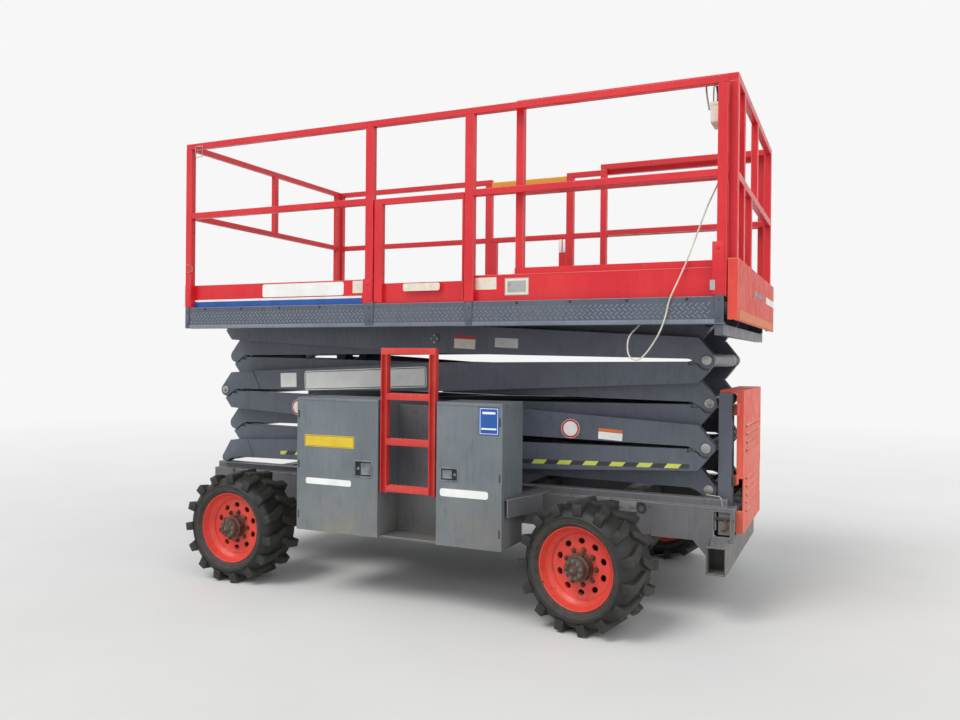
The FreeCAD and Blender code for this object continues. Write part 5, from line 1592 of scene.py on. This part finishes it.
def hatchMaterial(settings):
    # short upright bars of red between orange and yellow
    material, tree, shader = newMaterial("hatchStrip")
    turns = tree.nodes.new("ShaderNodeMath")
    turns.operation = "MULTIPLY_ADD"
    tree.links.new(axisOf(tree, "Y"), turns.inputs[0])
    turns.inputs[1].default_value = 1 / settings["pitch"]
    turns.inputs[2].default_value = 40
    part = sumOf(tree, "FRACT", turns.outputs["Value"], 0)
    dark = rangeOf(tree, part, 0.60, 0.66)
    cloud = rangeOf(tree, noiseOf(tree, 30, 6), 0.35, 0.7)
    bright = mixOf(tree, cloud, tone(226, 158, 52), tone(222, 112, 56))
    tree.links.new(mixOf(tree, dark, bright, tone(206, 62, 48)), shader.inputs["Base Color"])
    shader.inputs["Roughness"].default_value = 0.5
    return material


finish["hatchStrip"] = hatchMaterial(hatchSet)
stripLow = (hatchSet["face"][0], -hatchSet["half"], hatchSet["low"])
stripHigh = (hatchSet["face"][1], hatchSet["half"], hatchSet["high"])
strip = addBlock("hatchStrip", stripLow, stripHigh)
roundEdges(strip, 0.0004, 1, 40)
dress(strip, "extension", finish["hatchStrip"])


# The far side's drop bar is yellow

dropBarSet = {"low": (-0.298, 0.8, 2.690), "high": (0.306, 1.0, 2.750), "face": (226, 150, 34),
              "edge": (236, 172, 60)}


def markedRail(name, low, high, colour):
    # red paint with one length of rail in another colour
    material = paint(name, (212, 20, 34), (222, 38, 46), dust=(228, 96, 92), rough=0.38, grime=0.16,
                     sheen=0.2)
    tree = material.node_tree
    shader = tree.nodes["Principled BSDF"]
    red = shader.inputs["Base Color"].links[0].from_socket
    share = None
    for axis, first, last in zip("XYZ", low, high):
        for edge, inside in ((first, 1), (last, -1)):
            part = rangeOf(tree, axisOf(tree, axis), edge - 0.0005 * inside, edge + 0.0005 * inside)
            share = part if share is None else sumOf(tree, "MULTIPLY", share, part)
    tree.links.new(mixOf(tree, share, red, tone(*colour)), shader.inputs["Base Color"])
    return material


# the edge finish adds a lighter yellow on the bar's broken edges: a painted highlight
for name, shade in (("railMarked", "face"), ("railMarkedEdgeHighlight", "edge")):
    finish[name] = markedRail(name, dropBarSet["low"], dropBarSet["high"], dropBarSet[shade])
sideRails = nodes["guard_side_rails"]
sideRails.data.materials[0] = finish["railMarked"]
sideRails.data.materials[1] = finish["railMarkedEdgeHighlight"]

# Hoses along the inner arms, held by clips

hoseSet = {
    "across": 0.336,
    "high": 0.050,
    "radius": 0.0095,
    "from": 0.22,
    "to": 3.02,
    "steps": 8,
    "lean": 0.062,
    "sag": 0.004,
    "clips": (0.5, 1.15, 2.1, 2.75),
}


def hosePoint(number, u, drop, y):
    # a place on the inner arm's side, where the arm's middle line leans across its pins' line
    middle = hoseSet["lean"] * (1 - 2 * u / stackSet["length"])
    return stackPoint(number - 1, -armWay(number), u, middle + hoseSet["high"] - drop, y)


def addHoses(number, side, label):
    across = side * (hoseSet["across"] - 0.0005)
    parts = []
    for shift in (0.0, 0.021):
        points = []
        for index in range(hoseSet["steps"] + 1):
            u = hoseSet["from"] + (hoseSet["to"] - hoseSet["from"]) * index / hoseSet["steps"]
            points.append(hosePoint(number, u, shift + hoseSet["sag"] * (index % 2), across))
        parts.append(addWire("armHose", points, hoseSet["radius"], 2, True))
    hoses = joinPieces("armHoses_%d_%s" % (number, label), parts)
    dress(hoses, "inner_%d" % number, finish["hoseRubber"], angle=60)
    clips = []
    for u in hoseSet["clips"]:
        x, y, z = hosePoint(number, u, 0.0125, side * hoseSet["across"])
        clipLow = (x - 0.009, y - side * 0.0125, z - 0.026)
        clip = addBlock("hoseClip", clipLow, (x + 0.009, y + side * 0.0095, z + 0.026))
        roundEdges(clip, 0.004, 2, 40)
        clips.append(clip)
    dress(joinPieces("hoseClips_%d_%s" % (number, label), clips), "inner_%d" % number, finish["castIron"])


for number in (1, 2, 3, 4):
    for side, label in ((-1, "near"), (1, "far")):
        addHoses(number, side, label)
print("hoses run")


# Floor, sky and lamps

stageSet = {"floor": (226, 226, 223), "sky": 0.93, "dome": 0.62, "fadeStart": 4.0, "fadeEnd": 15.0}


def seenRays(tree):
    paths = tree.nodes.new("ShaderNodeLightPath")
    seen = sumOf(tree, "ADD", paths.outputs["Is Camera Ray"], paths.outputs["Is Glossy Ray"])
    return sumOf(tree, "ADD", seen, paths.outputs["Is Transmission Ray"])


def addStage(settings):
    clearSelection()
    bpy.ops.mesh.primitive_circle_add(vertices=96, radius=60, fill_type="NGON", location=(0, 0, 0))
    floor = bpy.context.object
    floor.name = "floor"
    material, tree, shader = newMaterial("floorPale")
    cloud = rangeOf(tree, noiseOf(tree, 0.8, 3), 0.3, 0.7)
    tree.links.new(mixOf(tree, cloud, tone(*settings["floor"]), tone(221, 221, 218)),
                   shader.inputs["Base Color"])
    shader.inputs["Roughness"].default_value = 0.9
    # far from the machine the floor fades into the pale sky
    place = tree.nodes.new("ShaderNodeTexCoord")
    length = tree.nodes.new("ShaderNodeVectorMath")
    length.operation = "LENGTH"
    tree.links.new(place.outputs["Object"], length.inputs[0])
    fade = rangeOf(tree, length.outputs["Value"], settings["fadeStart"], settings["fadeEnd"])
    pale = tree.nodes.new("ShaderNodeEmission")
    pale.inputs["Strength"].default_value = settings["sky"]
    both = tree.nodes.new("ShaderNodeMixShader")
    tree.links.new(sumOf(tree, "MULTIPLY", fade, seenRays(tree)), both.inputs["Fac"])
    tree.links.new(shader.outputs["BSDF"], both.inputs[1])
    tree.links.new(pale.outputs["Emission"], both.inputs[2])
    tree.links.new(both.outputs["Shader"], tree.nodes["Material Output"].inputs["Surface"])
    floor.data.materials.append(material)
    world = bpy.data.worlds.new("softSky")
    bpy.context.scene.world = world
    world.use_nodes = True
    tree = world.node_tree
    tree.nodes.clear()
    pale = tree.nodes.new("ShaderNodeBackground")
    pale.inputs["Color"].default_value = (1, 1, 1, 1)
    pale.inputs["Strength"].default_value = settings["sky"]
    dome = tree.nodes.new("ShaderNodeBackground")
    dome.inputs["Color"].default_value = (0.94, 0.97, 1.0, 1)
    dome.inputs["Strength"].default_value = settings["dome"]
    both = tree.nodes.new("ShaderNodeMixShader")
    out = tree.nodes.new("ShaderNodeOutputWorld")
    tree.links.new(seenRays(tree), both.inputs["Fac"])
    tree.links.new(dome.outputs["Background"], both.inputs[1])
    tree.links.new(pale.outputs["Background"], both.inputs[2])
    tree.links.new(both.outputs["Shader"], out.inputs["Surface"])


lampSet = {
    # place that the light comes from, strength, softness in degrees
    "keyLamp": ((-3.0, -6.5, 9.0), 1.5, 30),
    "fillLamp": ((7.0, -4.0, 4.5), 0.6, 60),
}


def addLamp(name, place, strength, softness):
    clearSelection()
    turn = (-Vector(place)).to_track_quat("-Z", "Y").to_euler()
    bpy.ops.object.light_add(type="SUN", location=place, rotation=turn)
    lamp = bpy.context.object
    lamp.name = name
    lamp.data.energy = strength
    lamp.data.angle = math.radians(softness)


addStage(stageSet)
for name, (place, strength, softness) in lampSet.items():
    addLamp(name, place, strength, softness)
bpy.context.scene.view_settings.view_transform = "Standard"
print("stage set")
